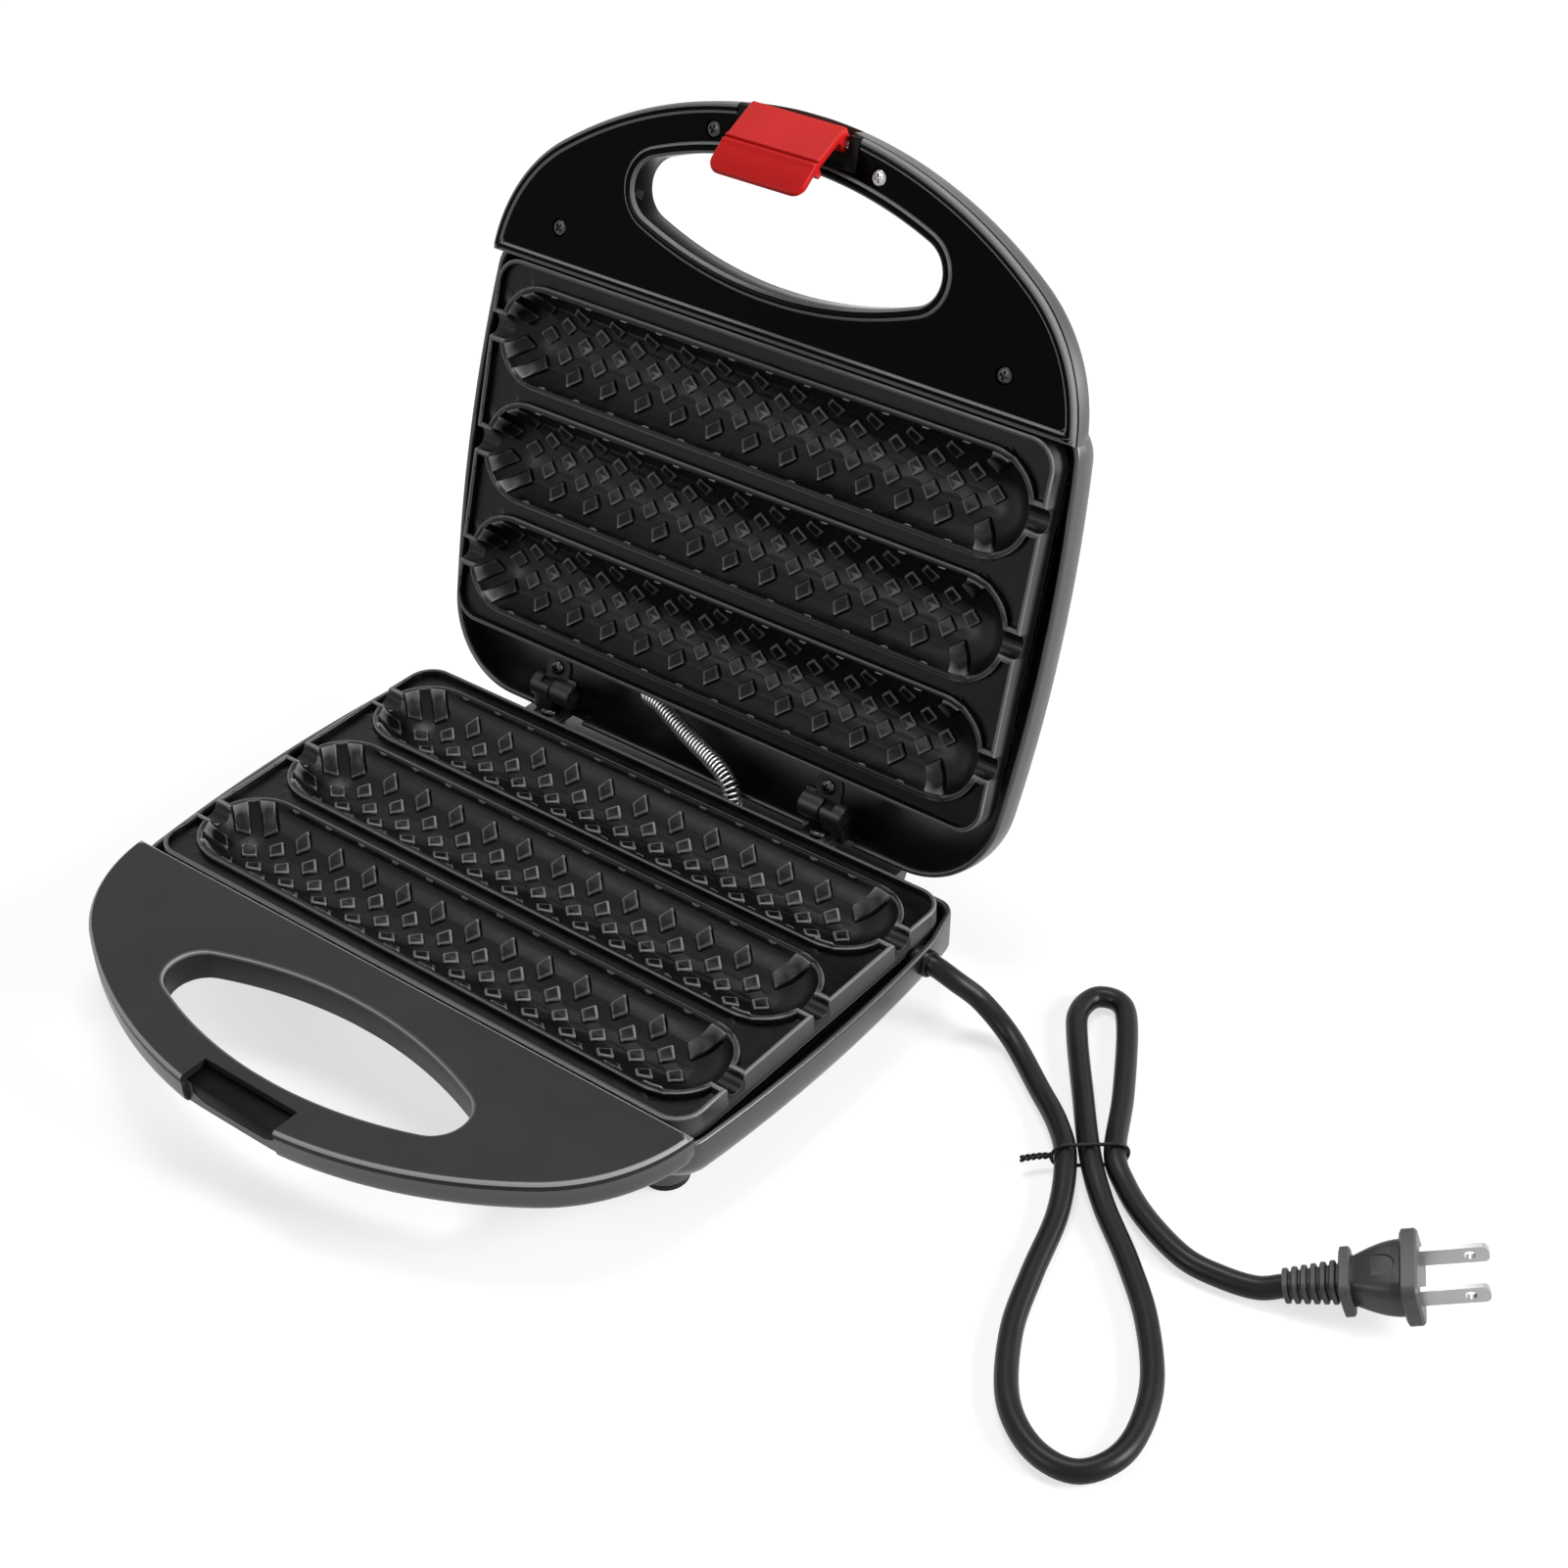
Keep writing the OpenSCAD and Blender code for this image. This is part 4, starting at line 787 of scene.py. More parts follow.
def plate_solid():
    """One plate: the cooking face over its plan drawing, the skirt and the hidden face."""
    side = [row + s * dy for row in CAVITY_ROWS for dy in CHANNEL_LINES for s in (-1, 1)]
    side = np.unique(np.round(side, 4))
    corner = rounded_rect(HALF_LEN, HALF_W, PLATE_R, 10)
    q = len(corner) // 4
    rising = np.column_stack([np.full(len(side), HALF_LEN), side])
    falling = rising[::-1] * [-1, 1]
    outline = np.concatenate([rising, corner[:2 * q], falling, corner[2 * q:]])
    n = len(outline)
    front, back = Plan(outline), Plan(drawn_in(outline, SKIRT_T))
    for inset, _ in RIM_STEPS[1:]:
        front.line(drawn_in(outline, inset))
    for row in CAVITY_ROWS:
        for plan in (front, back):
            plan.line([(-CAVITY_END, row), (CAVITY_END, row)], closed=False)
        for r in BACK_RINGS:
            back.line(capsule_line(row, r, 14))
        for r in CAVITY_RINGS + tuple(s[0] for s in RIDGE_STEPS[1:]):
            front.line(capsule_line(row, r))
        for s in (-1, 1):
            meet = []
            for dy in [-d for d in CHANNEL_LINES[:0:-1]] + list(CHANNEL_LINES):
                low = math.sqrt(max(STICK_R ** 2 - dy ** 2, 0)) + CAVITY_UP
                rho = math.sqrt(CAVITY_R ** 2 - low ** 2)
                x = CAVITY_END + math.sqrt(max(rho ** 2 - dy ** 2, 0))
                meet.append((s * x, row + dy))
                front.line([meet[-1], (s * HALF_LEN, row + dy)], closed=False)
            front.line(meet, closed=False)
            for land, _ in LAND_STEPS[1:]:
                x = CAVITY_END + math.sqrt(RIDGE_OUT ** 2 - land ** 2) - LAND_OVERLAP
                for y in (row - land, row + land):
                    front.line([(s * x, y), (s * LAND_END, y)], closed=False)
        for pad in PADS:
            if pad.core is PAD_CORE and not pad.run_x:
                front.line(pad_outline(pad, *PAD_FACET) + [0, row])
            for share, _ in PAD_STEPS:
                front.line(pad_outline(pad, share * pad.edge) + [0, row])
    flat, faces, place = front.triangles()
    top = np.column_stack([flat, cooking_depth(flat[:, 0], flat[:, 1])])
    edge = [place[k] for k in range(n)]
    inner = np.array([v[:] for v in back.verts[:n]])
    flat_b, faces_b, place_b = back.triangles()
    under = np.column_stack([flat_b, back_depth(flat_b[:, 0], flat_b[:, 1])])
    below_rim = np.column_stack([outline, top[edge, 2] + SKIRT_EDGE])
    skirt = [below_rim, level(outline, SKIRT_H - SKIRT_EDGE), level(outline, SKIRT_H), level(inner, SKIRT_H)]
    m = len(top)
    last = m + len(skirt) * n
    rings = [edge] + [range(m + k * n, m + (k + 1) * n) for k in range(len(skirt))]
    rings.append([last + place_b[k] for k in range(n)])
    walls = [(a[k], a[(k + 1) % n], b[(k + 1) % n], b[k]) for a, b in zip(rings, rings[1:]) for k in range(n)]
    hidden = [tuple(last + i for i in f) for f in faces_b]
    return np.concatenate([top] + skirt + [under]), list(faces) + walls + hidden


plate_mesh = plate_solid()
for word, place, body in (("lower_plate", base_down, "base"), ("upper_plate", lid_up, "lid")):
    piece(word + "_cast", plate_mesh, place, body, "nonstick", [word], 28)


# Housing halves: a bowl with a soft rim, and a D-shaped grip shell round the hand hole
BOW_X = BODY_HALF - BOW_R
LEAST_R = 3.0
REAR_TIGHTENS = 0.9
FRONT_TIGHTENS = 0.3
RIM_H = 6.0
INNER_TOP = 6.4
INNER_FROM = 8.0
TUB_AT = np.array((0.0, 20.0))
TUB_RUN = 60.0
TUB_AHEAD = [(0.0, -120.0), (160.0, -120.0)]
SLICES = ((RIM_H, 0.0, 0), (10.64, 0.2, 0), (15.68, 1.5, 0), (21.0, 5.5, 0), (25.48, 13.0, 0),
          (BODY_DEPTH, 22.0, 0))
SKIN = smooth_path(SLICES, 4)[:, :2]
RIM = ((5.6, 1.95), (5.0, 1.7), (4.65, 1.25), (4.6, 0.9), (4.68, 0.5), (5.0, 0.15), (5.5, 0.0))


def body_corner(y, r, inset):
    """A corner's centre against the bowed side, and the bearing where it touches."""
    x = BOW_X + math.sqrt((BOW_R - inset - r) ** 2 - (y - BOW_Y) ** 2)
    return x, math.atan2(y - BOW_Y, x - BOW_X)


def body_outline(inset):
    rear_r = max(REAR_R - REAR_TIGHTENS * inset, LEAST_R)
    rear_y = REAR_Y - inset - rear_r
    rear_x, rear_angle = body_corner(rear_y, rear_r, inset)
    front_r = max(FRONT_R - FRONT_TIGHTENS * inset, LEAST_R)
    front_y = BODY_FRONT + inset + front_r
    front_x, front_angle = body_corner(front_y, front_r, inset)
    straight = np.column_stack([np.linspace(0.1, 0.9, 5), np.ones(5)])
    return both_sides(np.concatenate([
        np.array((front_x, BODY_FRONT + inset)) * straight,
        arc(front_x, front_y, front_r, -QUARTER, front_angle, 10),
        arc(BOW_X, BOW_Y, BOW_R - inset, front_angle, rear_angle, 14)[1:-1],
        arc(rear_x, rear_y, rear_r, rear_angle, QUARTER, 18),
        np.array((rear_x, REAR_Y - inset)) * straight[::-1],
    ]))


def tub_outline(inset):
    """The base round the rear of its plate, drawn in by an inset; its front lies well forward."""
    side = np.array((BOW_X + math.sqrt(BOW_R ** 2 - (TUB_SIDE_Y - BOW_Y) ** 2), TUB_SIDE_Y))
    centre = np.array((TUB_HALF - TUB_R, TUB_REAR - TUB_R))
    apart = side - centre
    lean = math.atan2(apart[1], apart[0]) + math.acos(TUB_R / np.linalg.norm(apart))
    start = side - inset * np.array((math.cos(lean), math.sin(lean)))
    ahead_of = start + TUB_RUN * np.array((math.sin(lean), -math.cos(lean)))
    rear = np.linspace(1, 0.05, 12)[:, None] * [centre[0], 0] + [0, TUB_REAR - inset]
    corner = arc(centre[0], centre[1], TUB_R - inset, lean, QUARTER, 12)
    return both_sides(np.concatenate([TUB_AHEAD, [ahead_of, start], corner, rear[1:]]))


def bowl(row):
    """One half from its inner floor over the rim to its bottom; a row takes depth, inset and wall inset."""
    inside = [(max(d - WALL_T, INNER_TOP), i + WALL_T, WALL_T) for d, i in SKIN[::-1] if d > INNER_FROM]
    rim = [(d, i, i) for d, i in RIM]
    outside = [(d, i, 0.0) for d, i in SKIN]
    return loft([level(row(*r), r[0]) for r in inside + rim + outside])


def base_row(depth, inset, wall):
    drawn = wall + TUB_DRAFT * max(depth - RIM_H, 0) / (BODY_DEPTH - RIM_H)
    reach = [reach_of(line, TUB_AT, TUB_TURNS) for line in (body_outline(inset), tub_outline(drawn))]
    return seen_from(TUB_AT, TUB_TURNS, np.minimum(*reach))


def grip_outline(inset):
    b = GRIP_FRONT + GRIP_CY
    front_r = (GRIP_HALF ** 2 + b * b - 2 * GRIP_HALF * GRIP_TIP_R) / (2 * (b - GRIP_TIP_R))
    tip_x = GRIP_HALF - GRIP_TIP_R
    front_c = GRIP_CY - b + front_r
    meet = math.atan2(GRIP_CY - front_c, tip_x)
    first = math.asin((GRIP_EDGE_Y - inset - GRIP_CY) / (GRIP_TIP_R - inset))
    return both_sides(np.concatenate([
        arc(0, front_c, front_r - inset, -QUARTER, meet, 24)[1:-1],
        arc(tip_x, GRIP_CY, GRIP_TIP_R - inset, meet, first, 26),
    ]))


def hole_outline(grow):
    a, b, tip = HOLE_HALF_W, HOLE_HALF_H, HOLE_TIP_R
    side_r = (a * a + b * b - 2 * a * tip) / (2 * (b - tip))
    c = side_r - b
    meet = math.atan2(-c, a - tip)
    return both_sides(np.concatenate([
        arc(0, HOLE_CY + c, side_r + grow, -QUARTER, meet, 14)[1:-1],
        arc(a - tip, HOLE_CY, tip + grow, meet, -meet, 18),
        arc(0, HOLE_CY - c, side_r + grow, -meet, QUARTER, 14)[1:-1],
    ]))


LEAST_TURN = 0.004


def bearings(outline, centre):
    return np.arctan2(outline[:, 1] - centre[1], outline[:, 0] - centre[0])


def stations(outlines, centre):
    angles = np.sort(np.concatenate([bearings(o, centre) for o in outlines]))
    kept = [angles[0]]
    for a in angles[1:]:
        if a - kept[-1] > LEAST_TURN:
            kept.append(a)
    return np.array(kept)


def reach_of(outline, centre, turns):
    """Distances from a point to an outline along given bearings."""
    turn = bearings(outline, centre)
    order = np.argsort(turn)
    p, turn = outline[order], turn[order]
    p = np.concatenate([p[-1:], p, p[:1]])
    turn = np.concatenate([[turn[-1] - 2 * math.pi], turn, [turn[0] + 2 * math.pi]])
    k = np.clip(np.searchsorted(turn, turns) - 1, 0, len(p) - 2)
    a, b = p[k] - centre, p[k + 1] - centre
    ray = np.column_stack([np.cos(turns), np.sin(turns)])
    span = b - a
    return (a[:, 0] * span[:, 1] - a[:, 1] * span[:, 0]) / (ray[:, 0] * span[:, 1] - ray[:, 1] * span[:, 0])


def seen_from(centre, turns, reach):
    return np.column_stack([np.cos(turns), np.sin(turns)]) * reach[:, None] + centre


TUB_TURNS = stations((body_outline(0), tub_outline(0)), TUB_AT)
HOLE_AT = np.array((0.0, HOLE_CY))
GRIP_TURNS = stations((grip_outline(0), hole_outline(0)), HOLE_AT)


def rows_of(shape, *pairs):
    """Rows round the grip or the hole, each at an offset and a depth."""
    reach = [(reach_of(shape(offset), HOLE_AT, GRIP_TURNS), depth) for offset, depth in pairs]
    return [level(seen_from(HOLE_AT, GRIP_TURNS, r), depth) for r, depth in reach]


SLOT_FRONT = -140.0
SLOT_TOP = -2.0
BASE_HINGE_GAP = (6.3, 60.5, 68.0, 7.1, 0.0)
LID_HINGE_GAP = (10.0, HINGE_Y, 95.0, 9.1, 0.6)


def box_tool(place, *limits, bevel=0.0):
    return block(*limits, bevel) + (place,)


def round_tool(place, x, y, z0, z1, r):
    return loft([level(circle(x, y, r, 28), z) for z in (z0, z1)]) + (place,)


def hinge_gaps(place, half, front, back, floor_z, bevel):
    limits = (front, back, SLOT_TOP, floor_z)
    return [box_tool(place, x - half, x + half, *limits, bevel=bevel) for x in HINGE_XS]


def slot_tool(place, half, back, floor_z):
    """Cuts a grip's front open for the latch."""
    return box_tool(place, -half, half, SLOT_FRONT, back, SLOT_TOP, floor_z)


LEAF_Y = 69.0
POCKET_SIDE = LATCH_SLOT + 4.4
EAR_X = 20.8
COVER_SCREWS = ((-31.0, -119.0), (31.0, -119.0), (-85.5, -75.4), (85.5, -75.4))
shell_mesh = loft(
    rows_of(grip_outline, (0.0, 2.5), (0.0, 5.0), (0.05, 7.4), (0.35, 8.8), (1.1, 9.8), (2.3, 10.33),
            (3.2, GRIP_DEPTH))
    + rows_of(hole_outline, (1.9, GRIP_DEPTH), (1.9, 8.4))
    + rows_of(grip_outline, (4.4, 8.4), (2.4, 7.6), (2.0, 6.0), (2.0, 2.5)), ring=True)
lining = rows_of(hole_outline, (0.0, 9.9), (0.25, 10.3), (0.6, GRIP_DEPTH), (1.6, GRIP_DEPTH), (1.6, COVER_T))
base_cover_mesh = loft(
    rows_of(grip_outline, (0.0, COVER_T), (0.0, 0.95), (0.1, 0.75), (0.85, 0.06), (1.1, 0.0))
    + rows_of(hole_outline, (1.1, 0.0), (0.5, 0.12), (0.12, 0.5), (0.0, 1.1)) + lining, ring=True)
lid_cover_mesh = loft(
    rows_of(grip_outline, (0.0, COVER_T), (0.0, 1.5), (0.2, 0.8), (0.7, 0.25), (1.4, 0.03), (2.0, 0.0),
            (2.6, 0.02), (2.85, 0.15), (3.05, 0.5), (3.35, 0.62))
    + rows_of(hole_outline, (3.6, 0.62), (3.2, 0.5), (3.0, 0.15), (2.7, 0.02), (1.8, 0.0), (0.9, 0.12),
              (0.3, 0.55), (0.0, 1.3)) + lining, ring=True)

piece("base_shell_body", bowl(base_row), base_down, "base", "housing_plastic", ["base_housing"],
      cutters=hinge_gaps(base_down, *BASE_HINGE_GAP))

# Shelf behind the base's rear wall, with bosses for the hinge leaves and a hole for the conduit
CONDUIT_BASE = (18.2, 68.8, -16.5)
LEAF_BOSS = [(7.02, 0.0), (7.02, 4.6), (7.3, 4.95), (12.9, 5.0), (13.4, 5.3), (13.7, 6.0), (13.9, 6.0),
             (13.9, 0.0)]
SHELF_TOP = [(64.0, SHELF_D), (REAR_Y - 2.2, SHELF_D), (REAR_Y - 1.5, SHELF_D + 0.2),
             (REAR_Y - 1.1, SHELF_D + 0.6)]
SHELF_UNDER = [(61.0, 27.0), (63.0, 22.0), (64.0, 18.0)]
behind = [(REAR_Y - i - 0.02, d) for d, i in SKIN if d > SHELF_D + 0.8]
shelf_line = np.array(SHELF_TOP + behind + SHELF_UNDER)
shelf_mid = shelf_line.mean(axis=0)
shelf_rows = []
for x, share in ((-SHELF_HALF, 0.97), (-SHELF_HALF + 0.5, 1.0), (SHELF_HALF - 0.5, 1.0), (SHELF_HALF, 0.97)):
    shelf_rows.append(across(shelf_mid + (shelf_line - shelf_mid) * share, x))
piece("base_hinge_shelf", loft(shelf_rows), base_down, "base", "housing_plastic",
      cutters=[round_tool(base_down, CONDUIT_BASE[0], CONDUIT_BASE[1], SHELF_D - 1, 18.5, 3.6)])
leaf_bosses = join([turned(LEAF_BOSS, at=(x, LEAF_Y, 0)) for x in HINGE_XS])
piece("hinge_leaf_bosses", leaf_bosses, base_down, "base", "housing_plastic")

# Lid's bowl, grip shells, and covers
piece("lid_shell_body", bowl(lambda depth, inset, wall: body_outline(inset)), lid_up, "lid",
      "housing_plastic", ["lid_housing"], cutters=hinge_gaps(lid_up, *LID_HINGE_GAP))
screw_wells = [round_tool(base_down, x, y, 14, 8.0, 2.7) for x, y in COVER_SCREWS]
piece("base_shell_grip", shell_mesh, base_down, "base", "housing_plastic", ["base_grip_shell"],
      cutters=[slot_tool(base_down, LATCH_SLOT, -127.6, 14)] + screw_wells)
piece("lid_shell_grip", shell_mesh, lid_up, "lid", "housing_plastic", ["lid_grip_shell"],
      cutters=[slot_tool(lid_up, LATCH_SLOT, -119.1, 8.0)])
cover = piece("base_grip_cover", base_cover_mesh, base_down, "base", "base_cover_plastic",
              ["base_handle_cover"], cutters=[slot_tool(base_down, LATCH_SLOT, RECESS_BACK, 4)])
crisp_panel(cover, BASE_AXIS)
screw_wells = [round_tool(lid_up, x, y, -2, 1.45, 3.0) for x, y in COVER_SCREWS]
cover = piece("lid_grip_cover", lid_cover_mesh, lid_up, "lid", "lid_cover_plastic",
              ["lid_handle_cover"], cutters=[slot_tool(lid_up, POCKET_SIDE, -117.9, 14)] + screw_wells)
crisp_panel(cover, LID_AXIS)
# Latch seat and pocket take the pocket look: painted shade, darker and duller than the housing round them
seat = block(-LATCH_SLOT - 2.2, LATCH_SLOT + 2.2, -127.55, -118.3, 2.6, 8.3, 0.3)
piece("latch_seat", seat, base_down, "base", "housing_plastic", look="pocket")
ears = [block(s * EAR_X - 2.05, s * EAR_X + 2.05, -128.6, -118.2, 0.15, 8.3, 0.35) for s in (-1, 1)]
ears.append(block(-EAR_X, EAR_X, -119.4, -118.2, 0.4, 8.3, 0.25))
piece("latch_pocket", join(ears), lid_up, "lid", "housing_plastic", look="pocket")

# Feet with their bosses
FEET = ((-94.0, -54.5), (94.0, -54.5), (-86.0, 57.0), (86.0, 57.0))
FOOT_BOSS = [(20.0, 0.0), (20.0, 8.0), (27.6, 8.0), (27.9, 7.7), (28.0, 7.2), (28.0, 0.0)]
FOOT_PAD = [(27.9, 0.0), (27.9, 7.0), (30.2, 7.0), (30.75, 6.75), (31.0, 6.2), (31.0, 3.4),
            (30.5, 3.0), (30.5, 0.0)]
foot_bosses = join([turned(FOOT_BOSS, at=(x, y, 0)) for x, y in FEET])
foot_pads = join([turned(FOOT_PAD, at=(x, y, 0)) for x, y in FEET])
piece("foot_bosses", foot_bosses, base_down, "base", "housing_plastic")
piece("foot_pads", foot_pads, base_down, "base", "foot_rubber", ["feet"])

# Hinges: leaf, web and knuckle ring on the base, arm and ring on the lid
PIN_BORE = 1.65
LID_SCREW_Y = 65.0
LEAF_HALF = 6.0
LEAF_END = 75.0
LEAF_Z = (-7.0, -5.0)
LEAF_WEB = (70.4, 75.6, -6.8, 0.6)
ARM_HALF = 5.0
ARM_Z = (0.6, 2.6)
ARM_WEB = (67.5, 70.5)
KNUCKLE_RING = [
    (0.0, PIN_BORE), (0.0, KNUCKLE_R - 0.3), (0.3, KNUCKLE_R), (KNUCKLE_LEN - 0.3, KNUCKLE_R),
    (KNUCKLE_LEN, KNUCKLE_R - 0.3), (KNUCKLE_LEN, PIN_BORE),
]


def leaf(x, screw_y, half, y_end, z0, z1):
    """A slab with soft edges, round about its screw and square at its far end."""
    away = math.copysign(1, y_end - screw_y)
    outline = arc(0, 0, half, math.pi, 2 * math.pi, 20) * [1, away] + [x, screw_y]
    outline = np.concatenate([outline, [(x + half, y_end), (x - half, y_end)]])
    mid = np.array((x, (screw_y + y_end) / 2))
    rows = [(z0, 0.93), (z0 + 0.4, 1.0), (z1 - 0.4, 1.0), (z1, 0.93)]
    return loft([level(mid + (outline - mid) * share, z) for z, share in rows])


for x, side, word in ((HINGE_XS[0], -1, "left"), (HINGE_XS[1], 1, "right")):
    x0 = x + RING_GAP / 2
    x1 = x - RING_GAP / 2 - KNUCKLE_LEN
    x0, x1 = (x0, x1) if side > 0 else (x1, x0)
    knuckle = add("knuckle", *turned(KNUCKLE_RING, 44, "x", (x0, HINGE_Y, HINGE_Z)), base_up)
    notch_x = x + side * (RING_GAP / 2 + 2.1)
    cut(knuckle, [box_tool(base_up, notch_x - 2.2, notch_x + 2.2, HINGE_Y - 2.9, HINGE_Y - 0.1, HINGE_Z + 2.7,
                           HINGE_Z + 6)])
    ring = [tuple(v.co) for v in knuckle.data.vertices], [tuple(f.vertices) for f in knuckle.data.polygons]
    bpy.data.objects.remove(knuckle)
    web = block(x0, x0 + KNUCKLE_LEN, *LEAF_WEB, 0.4)
    verts, faces = join([leaf(x, LEAF_Y, LEAF_HALF, LEAF_END, *LEAF_Z), web])
    piece("base_hinge_%s_bracket" % word, join([ring, (base_up(verts), faces)]), points, "base",
          "hinge_metal", ["base_hinge_" + word])
    arm = join([turned(KNUCKLE_RING, 44, "x", (x1, HINGE_Y, HINGE_Z - PLATE_GAP)),
                leaf(x, LID_SCREW_Y, ARM_HALF, LEAF_Y, *ARM_Z),
                block(x1, x1 + KNUCKLE_LEN, *ARM_WEB, *ARM_Z, 0.3)])
    piece("lid_hinge_%s_arm" % word, arm, lid_up, "lid", "hinge_metal", ["lid_hinge_" + word])


# Screws with a cross recess
def cross_distance(x, y, arm, half):
    x, y = np.abs(x), np.abs(y)
    return np.minimum(box_distance(x - arm, y - half), box_distance(y - arm, x - half))


def cross_line(arm, half):
    quarter = np.array([(arm, -half), (arm, half), (half, half)])
    turns = [(math.cos(k * QUARTER), math.sin(k * QUARTER)) for k in range(4)]
    return np.concatenate([quarter @ np.array(((c, s), (-s, c))) for c, s in turns])


DOME = ((0.0, 1.0), (0.64, 0.93), (0.82, 0.8), (0.94, 0.55), (1.0, 0.2))
HEAD_SIDES = 36


def screw_head(r, h, at, up_sign, turn):
    """A domed head at a point, rising along +z or -z."""
    n = HEAD_SIDES
    plan = Plan(circle(0, 0, r, n))
    for share, _ in DOME[-2:0:-1]:
        plan.line(circle(0, 0, r * share, n))
    arm, half = 0.56 * r, 0.15 * r
    plan.line(cross_line(arm, half))
    plan.line(cross_line(arm * 0.86, half * 0.6))
    flat, faces, place = plan.triangles()
    dome = steps(np.hypot(flat[:, 0], flat[:, 1]) / r, DOME) * h
    sink = np.interp(cross_distance(flat[:, 0], flat[:, 1], arm, half), [-0.07 * r, 0], [0.62 * h, 0])
    ring = [place[k] for k in range(n)]
    top = np.column_stack([*spun(flat[:, 0], flat[:, 1], turn), up_sign * (dome - sink)])
    m = len(top)
    walls = [(ring[k], ring[(k + 1) % n], m + (k + 1) % n, m + k) for k in range(n)]
    low = top[ring] * [1, 1, 0]
    return np.concatenate([top, low]) + np.array(at), list(faces) + walls + [tuple(range(m, m + n))]


lid_heads = [screw_head(2.6, 1.1, (x, y, 1.4), -1, 0.3 + k) for k, (x, y) in enumerate(COVER_SCREWS)]
base_heads = [screw_head(2.5, 1.3, (x, y, 8.1), 1, 0.5 + k) for k, (x, y) in enumerate(COVER_SCREWS)]
leaf_heads = [screw_head(2.9, 1.8, (x, LEAF_Y, LEAF_Z[1]), 1, 0.7) for x in HINGE_XS]
arm_heads = [screw_head(2.5, 1.7, (x, LID_SCREW_Y, ARM_Z[0]), -1, 0.2) for x in HINGE_XS]
dark_heads = join(lid_heads[:1] + lid_heads[2:])
piece("lid_cover_screw_bright", lid_heads[1], lid_up, "lid", "screw_steel")
piece("lid_cover_screw_heads", dark_heads, lid_up, "lid", "dark_screw", ["lid_cover_screws"])
for word, heads, place, body, slot in (("base_cover", base_heads, base_down, "base", "dark_screw"),
                                       ("base_hinge", leaf_heads, base_up, "base", "screw_steel"),
                                       ("lid_hinge", arm_heads, lid_up, "lid", "screw_steel")):
    piece(word + "_screw_heads", join(heads), place, body, slot, [word + "_screws"], look="dark_screw")


# Wound conduit across the hinge, with its sleeve inside
def from_hinge(x, dy, dz):
    return x, HINGE_Y + dy, HINGE_Z + dz


CONDUIT_LID = (-32.0, 66.5, 21.0)
CONDUIT_R = 2.6
CONDUIT_WIRE_R = 0.4
CONDUIT_TURNS = 50
CONDUIT_SPARE = 0.4
TURN_STEPS = 18
SLEEVE_R = 1.5
conduit_route = [
    tuple(lid_closed_to_open(CONDUIT_LID)[0]),
    tuple(lid_closed_to_open((CONDUIT_LID[0], CONDUIT_LID[1], CONDUIT_LID[2] - 5))[0]),
    from_hinge(-29, 12, 3.3), from_hinge(-22, 9.6, 3.6), from_hinge(-12, 6.2, 1.9), from_hinge(-4, 3.8, 0.4),
    from_hinge(4, 1.6, -0.9), from_hinge(11.5, -0.8, -2.5), from_hinge(16.2, -2.6, -5.4),
    (CONDUIT_BASE[0] - 0.2, CONDUIT_BASE[1] + 0.4, CONDUIT_BASE[2] + 7.5), CONDUIT_BASE,
]
axis_path = smooth_path(conduit_route, 10)
run = np.concatenate([[0], np.cumsum(np.linalg.norm(np.diff(axis_path, axis=0), axis=1))])
t_dir, n_dir, _ = carried(axis_path, (1, 0, 0))
s_at = np.linspace(CONDUIT_SPARE, run[-1] - CONDUIT_SPARE, CONDUIT_TURNS * TURN_STEPS + 1)


def along(values):
    return np.column_stack([np.interp(s_at, run, values[:, k]) for k in range(3)])


ahead, side = unit(along(t_dir)), unit(along(n_dir))
angle = np.linspace(0, 2 * math.pi * CONDUIT_TURNS, len(s_at))[:, None]
helix = along(axis_path) + CONDUIT_R * (np.cos(angle) * side + np.sin(angle) * np.cross(ahead, side))
spring = add("conduit_spring", *tube(helix, CONDUIT_WIRE_R, 8, (1, 0, 0)), base_up)
sleeve = add("conduit_sleeve", *tube(axis_path[::2], SLEEVE_R, 14, (1, 0, 0)), base_up)
for obj, slot, node in ((spring, "conduit_steel", "wire_conduit"), (sleeve, "wire_sleeve", "conduit_wires")):
    obj.data.shade_smooth()
    obj.data.materials.append(MAT[slot])
    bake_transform(obj)
    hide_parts(node)

# Latch: plate with a stepped crease and a finger lip with round corners
LATCH_HALF = 17.5
LATCH_FACE = -3.0
LATCH_T = 2.2
LATCH_FOOT = -12.9
LIP_LEN = 9.0
LIP_TURN = math.radians(12.0)
LIP_CORNER = 4.0
CREASE = LATCH_FOOT - 2.2
BARREL_R = 2.4
LATCH_FRONT = (
    (0.9, 2.4), (0.25, 2.15), (0.0, 1.5), (0.0, -10.9), (-0.12, -11.3), (-0.45, -11.55), (-0.45, -12.25),
    (-0.1, -12.5), (0.3, -12.6), (0.3, -13.05), (-0.1, -13.2), (-0.4, -13.5), (-0.4, -14.3), (-0.1, -14.75),
)
LIP_END = ((-LATCH_T, 0.9), (0.3 - LATCH_T, 0.25), (0.8 - LATCH_T, 0.0), (-0.8, 0.0),
           (-0.25, 0.25), (0.0, 0.9))
LATCH_BACK = (
    (2.2, CREASE + 0.05), (2.6, CREASE + 0.4), (2.6, LATCH_FOOT - 0.4), (2.2, LATCH_FOOT), (0.3, LATCH_FOOT),
    (0.0, LATCH_FOOT + 0.4), (0.0, -2.8), (0.4, -2.4),
)
LATCH_ENDS = [(17.5, 0.4), (17.4, 0.18), (17.15, 0.0), (16.7, 0), (16.1, 0), (15.4, 0), (14.6, 0), (13.5, 0)]
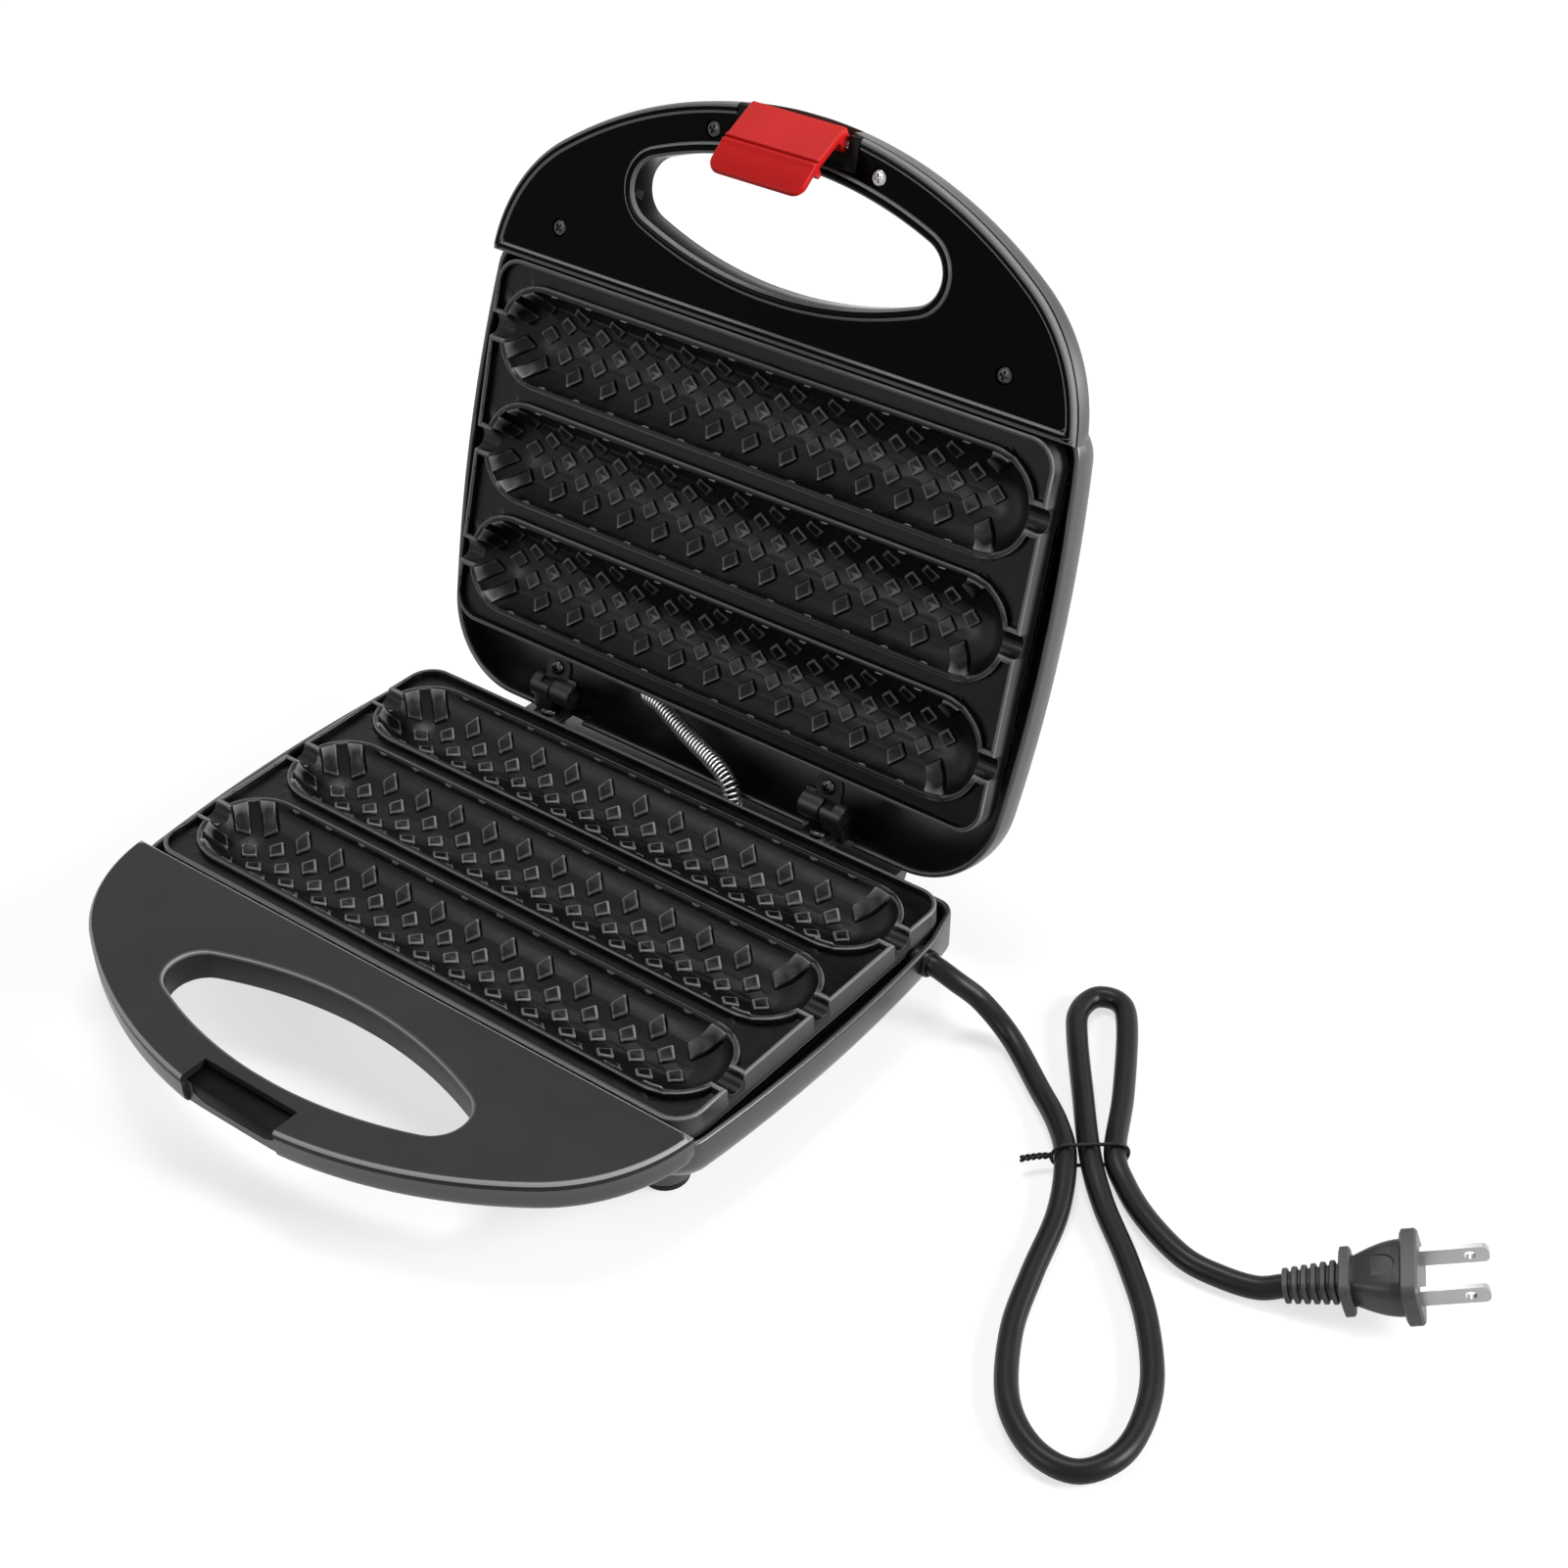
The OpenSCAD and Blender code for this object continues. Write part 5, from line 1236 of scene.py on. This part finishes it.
ROD = [(-22.3, 0.0), (-22.3, 1.0), (-22.1, 1.2), (22.1, 1.2), (22.3, 1.0), (22.3, 0.0)]


def latch_profile(lip):
    """Outline across the latch, with a lip of a given length."""
    lip_line = [(-LATCH_T, -0.5)] + [(y, z - lip) for y, z in LIP_END] + [(0.0, -0.3)]
    lip_line = [spun(y, z, LIP_TURN) for y, z in lip_line]
    return np.array(
        [(LATCH_FACE - LATCH_T + y, z) for y, z in LATCH_FRONT]
        + [(LATCH_FACE + y, CREASE + z) for y, z in lip_line]
        + [(LATCH_FACE + y, z) for y, z in LATCH_BACK]
        + [tuple(p) for p in arc(0, 0, BARREL_R, -QUARTER, QUARTER, 10)])


def latch_row(x, shrink):
    over = max(abs(x) - (LATCH_HALF - LIP_CORNER), 0)
    p = latch_profile(LIP_LEN - LIP_CORNER + math.sqrt(max(LIP_CORNER ** 2 - over ** 2, 0.3)))
    t = unit(np.roll(p, -1, 0) - np.roll(p, 1, 0))
    return across(p + shrink * np.column_stack([-t[:, 1], t[:, 0]]), x)


latch_rows = [latch_row(-x, s) for x, s in LATCH_ENDS] + [latch_row(x, s) for x, s in LATCH_ENDS[::-1]]
piece("latch_handle", loft(latch_rows), latch_at, "latch", "latch_red", ["latch_clip"], 40)
piece("latch_rod", turned(ROD, 28, "x"), latch_at, "lid", "screw_steel", ["latch_pin"])

# Signal windows on the lid's outer face
WINDOW = [(25.5, 0.0), (25.5, 2.95), (28.0, 2.95), (28.35, 2.7), (28.55, 2.0), (28.65, 1.0), (28.68, 0.0)]
for x, word, lens in ((-12.0, "power", "red_lens"), (12.0, "ready", "green_lens")):
    piece(word + "_window", turned(WINDOW, 36, at=(x, -30.0, 0)), lid_up, "lid", lens, [word + "_lens"])

# Carried-over solids inside the halves
KEPT = {
    "heater_steel": ("lower_heater", "upper_heater"),
    "sheet_aluminium": ("lower_reflector", "upper_reflector", "thermal_fuse"),
    "ceramic": ("thermostat", "terminal_block"),
    "wire_sleeve": ("mains_wires",),
    "screw_steel": ("lower_plate_screws", "upper_plate_screws", "hinge_pins"),
    "lamp_glass": ("indicator_lamps",),
}
for look_name, kept_nodes in KEPT.items():
    for node in kept_nodes:
        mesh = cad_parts[node].data
        mesh.materials.clear()
        mesh.materials.append(MAT[look_name])

# Floor, light and background
FLOOR_HALF = 6.0
FLOOR_GREY = (0.42, 0.42, 0.42, 1)
LIFT_AWAY = (0.7, 2.0)
LIFT = (0.68, 1.0)
SKY = (0.12, 1.0)
LAMPS = (
    ("right_soft", (1.15, 0.35, 0.55), (0, 0.05, 0.1), (0.5, 0.6), 17),
    ("top_soft", (-0.25, 0.35, 1.5), (0, 0, 0), (0.7, 0.5), 12),
    ("rim_soft", (0.95, 1.2, 0.22), (0.1, 0.1, 0.12), (0.6, 0.6), 5),
    ("front_fill", (-0.65, -1.35, 0.85), (0, 0.05, 0.12), (0.8, 0.5), 7),
)


def shown_rays(tree):
    """1 for rays that show the surround: from the camera, mirrored or let through."""
    rays = new_node(tree, "ShaderNodeLightPath").outputs
    mirrored = math_of(tree, "MAXIMUM", rays["Is Camera Ray"], rays["Is Glossy Ray"])
    return math_of(tree, "MAXIMUM", mirrored, rays["Is Transmission Ray"])


floor_mesh = bpy.data.meshes.new("floor")
corners = [(x * FLOOR_HALF, y * FLOOR_HALF, 0) for x, y in ((-1, -1), (1, -1), (1, 1), (-1, 1))]
floor_mesh.from_pydata(corners, [], [(0, 1, 2, 3)])
floor = in_scene("floor", floor_mesh)
floor_mat = bpy.data.materials.new("floor_pale")
floor_mat.use_nodes = True
tree = floor_mat.node_tree
pale = tree.nodes["Principled BSDF"]
set_sockets(pale, {"Base Color": FLOOR_GREY, "Roughness": 0.9, "Specular IOR Level": 0.0})
away = new_node(tree, "ShaderNodeVectorMath", operation="LENGTH")
tree.links.new(new_node(tree, "ShaderNodeTexCoord").outputs["Object"], away.inputs[0])
whiter = ramp_of(tree, away.outputs["Value"], *LIFT_AWAY, *LIFT)
lift = new_node(tree, "ShaderNodeEmission")
tree.links.new(math_of(tree, "MULTIPLY", shown_rays(tree), whiter), lift.inputs["Strength"])
both = new_node(tree, "ShaderNodeAddShader")
tree.links.new(pale.outputs[0], both.inputs[0])
tree.links.new(lift.outputs[0], both.inputs[1])
tree.links.new(both.outputs[0], tree.nodes["Material Output"].inputs["Surface"])
floor_mesh.materials.append(floor_mat)

world = bpy.data.worlds.new("studio")
bpy.context.scene.world = world
world.use_nodes = True
tree = world.node_tree
sky = tree.nodes["Background"]
set_sockets(sky, {"Color": (1, 1, 1, 1)})
tree.links.new(ramp_of(tree, shown_rays(tree), 0.0, 1.0, *SKY), sky.inputs["Strength"])

for name, at, aim, size, power in LAMPS:
    data = bpy.data.lights.new(name, "AREA")
    data.shape = "RECTANGLE"
    data.size, data.size_y = size
    data.energy = power
    lamp = in_scene(name, data)
    lamp.location = at
    lamp.rotation_euler = (Vector(aim) - Vector(at)).to_track_quat("-Z", "Y").to_euler()
bpy.context.scene.view_settings.view_transform = "Standard"
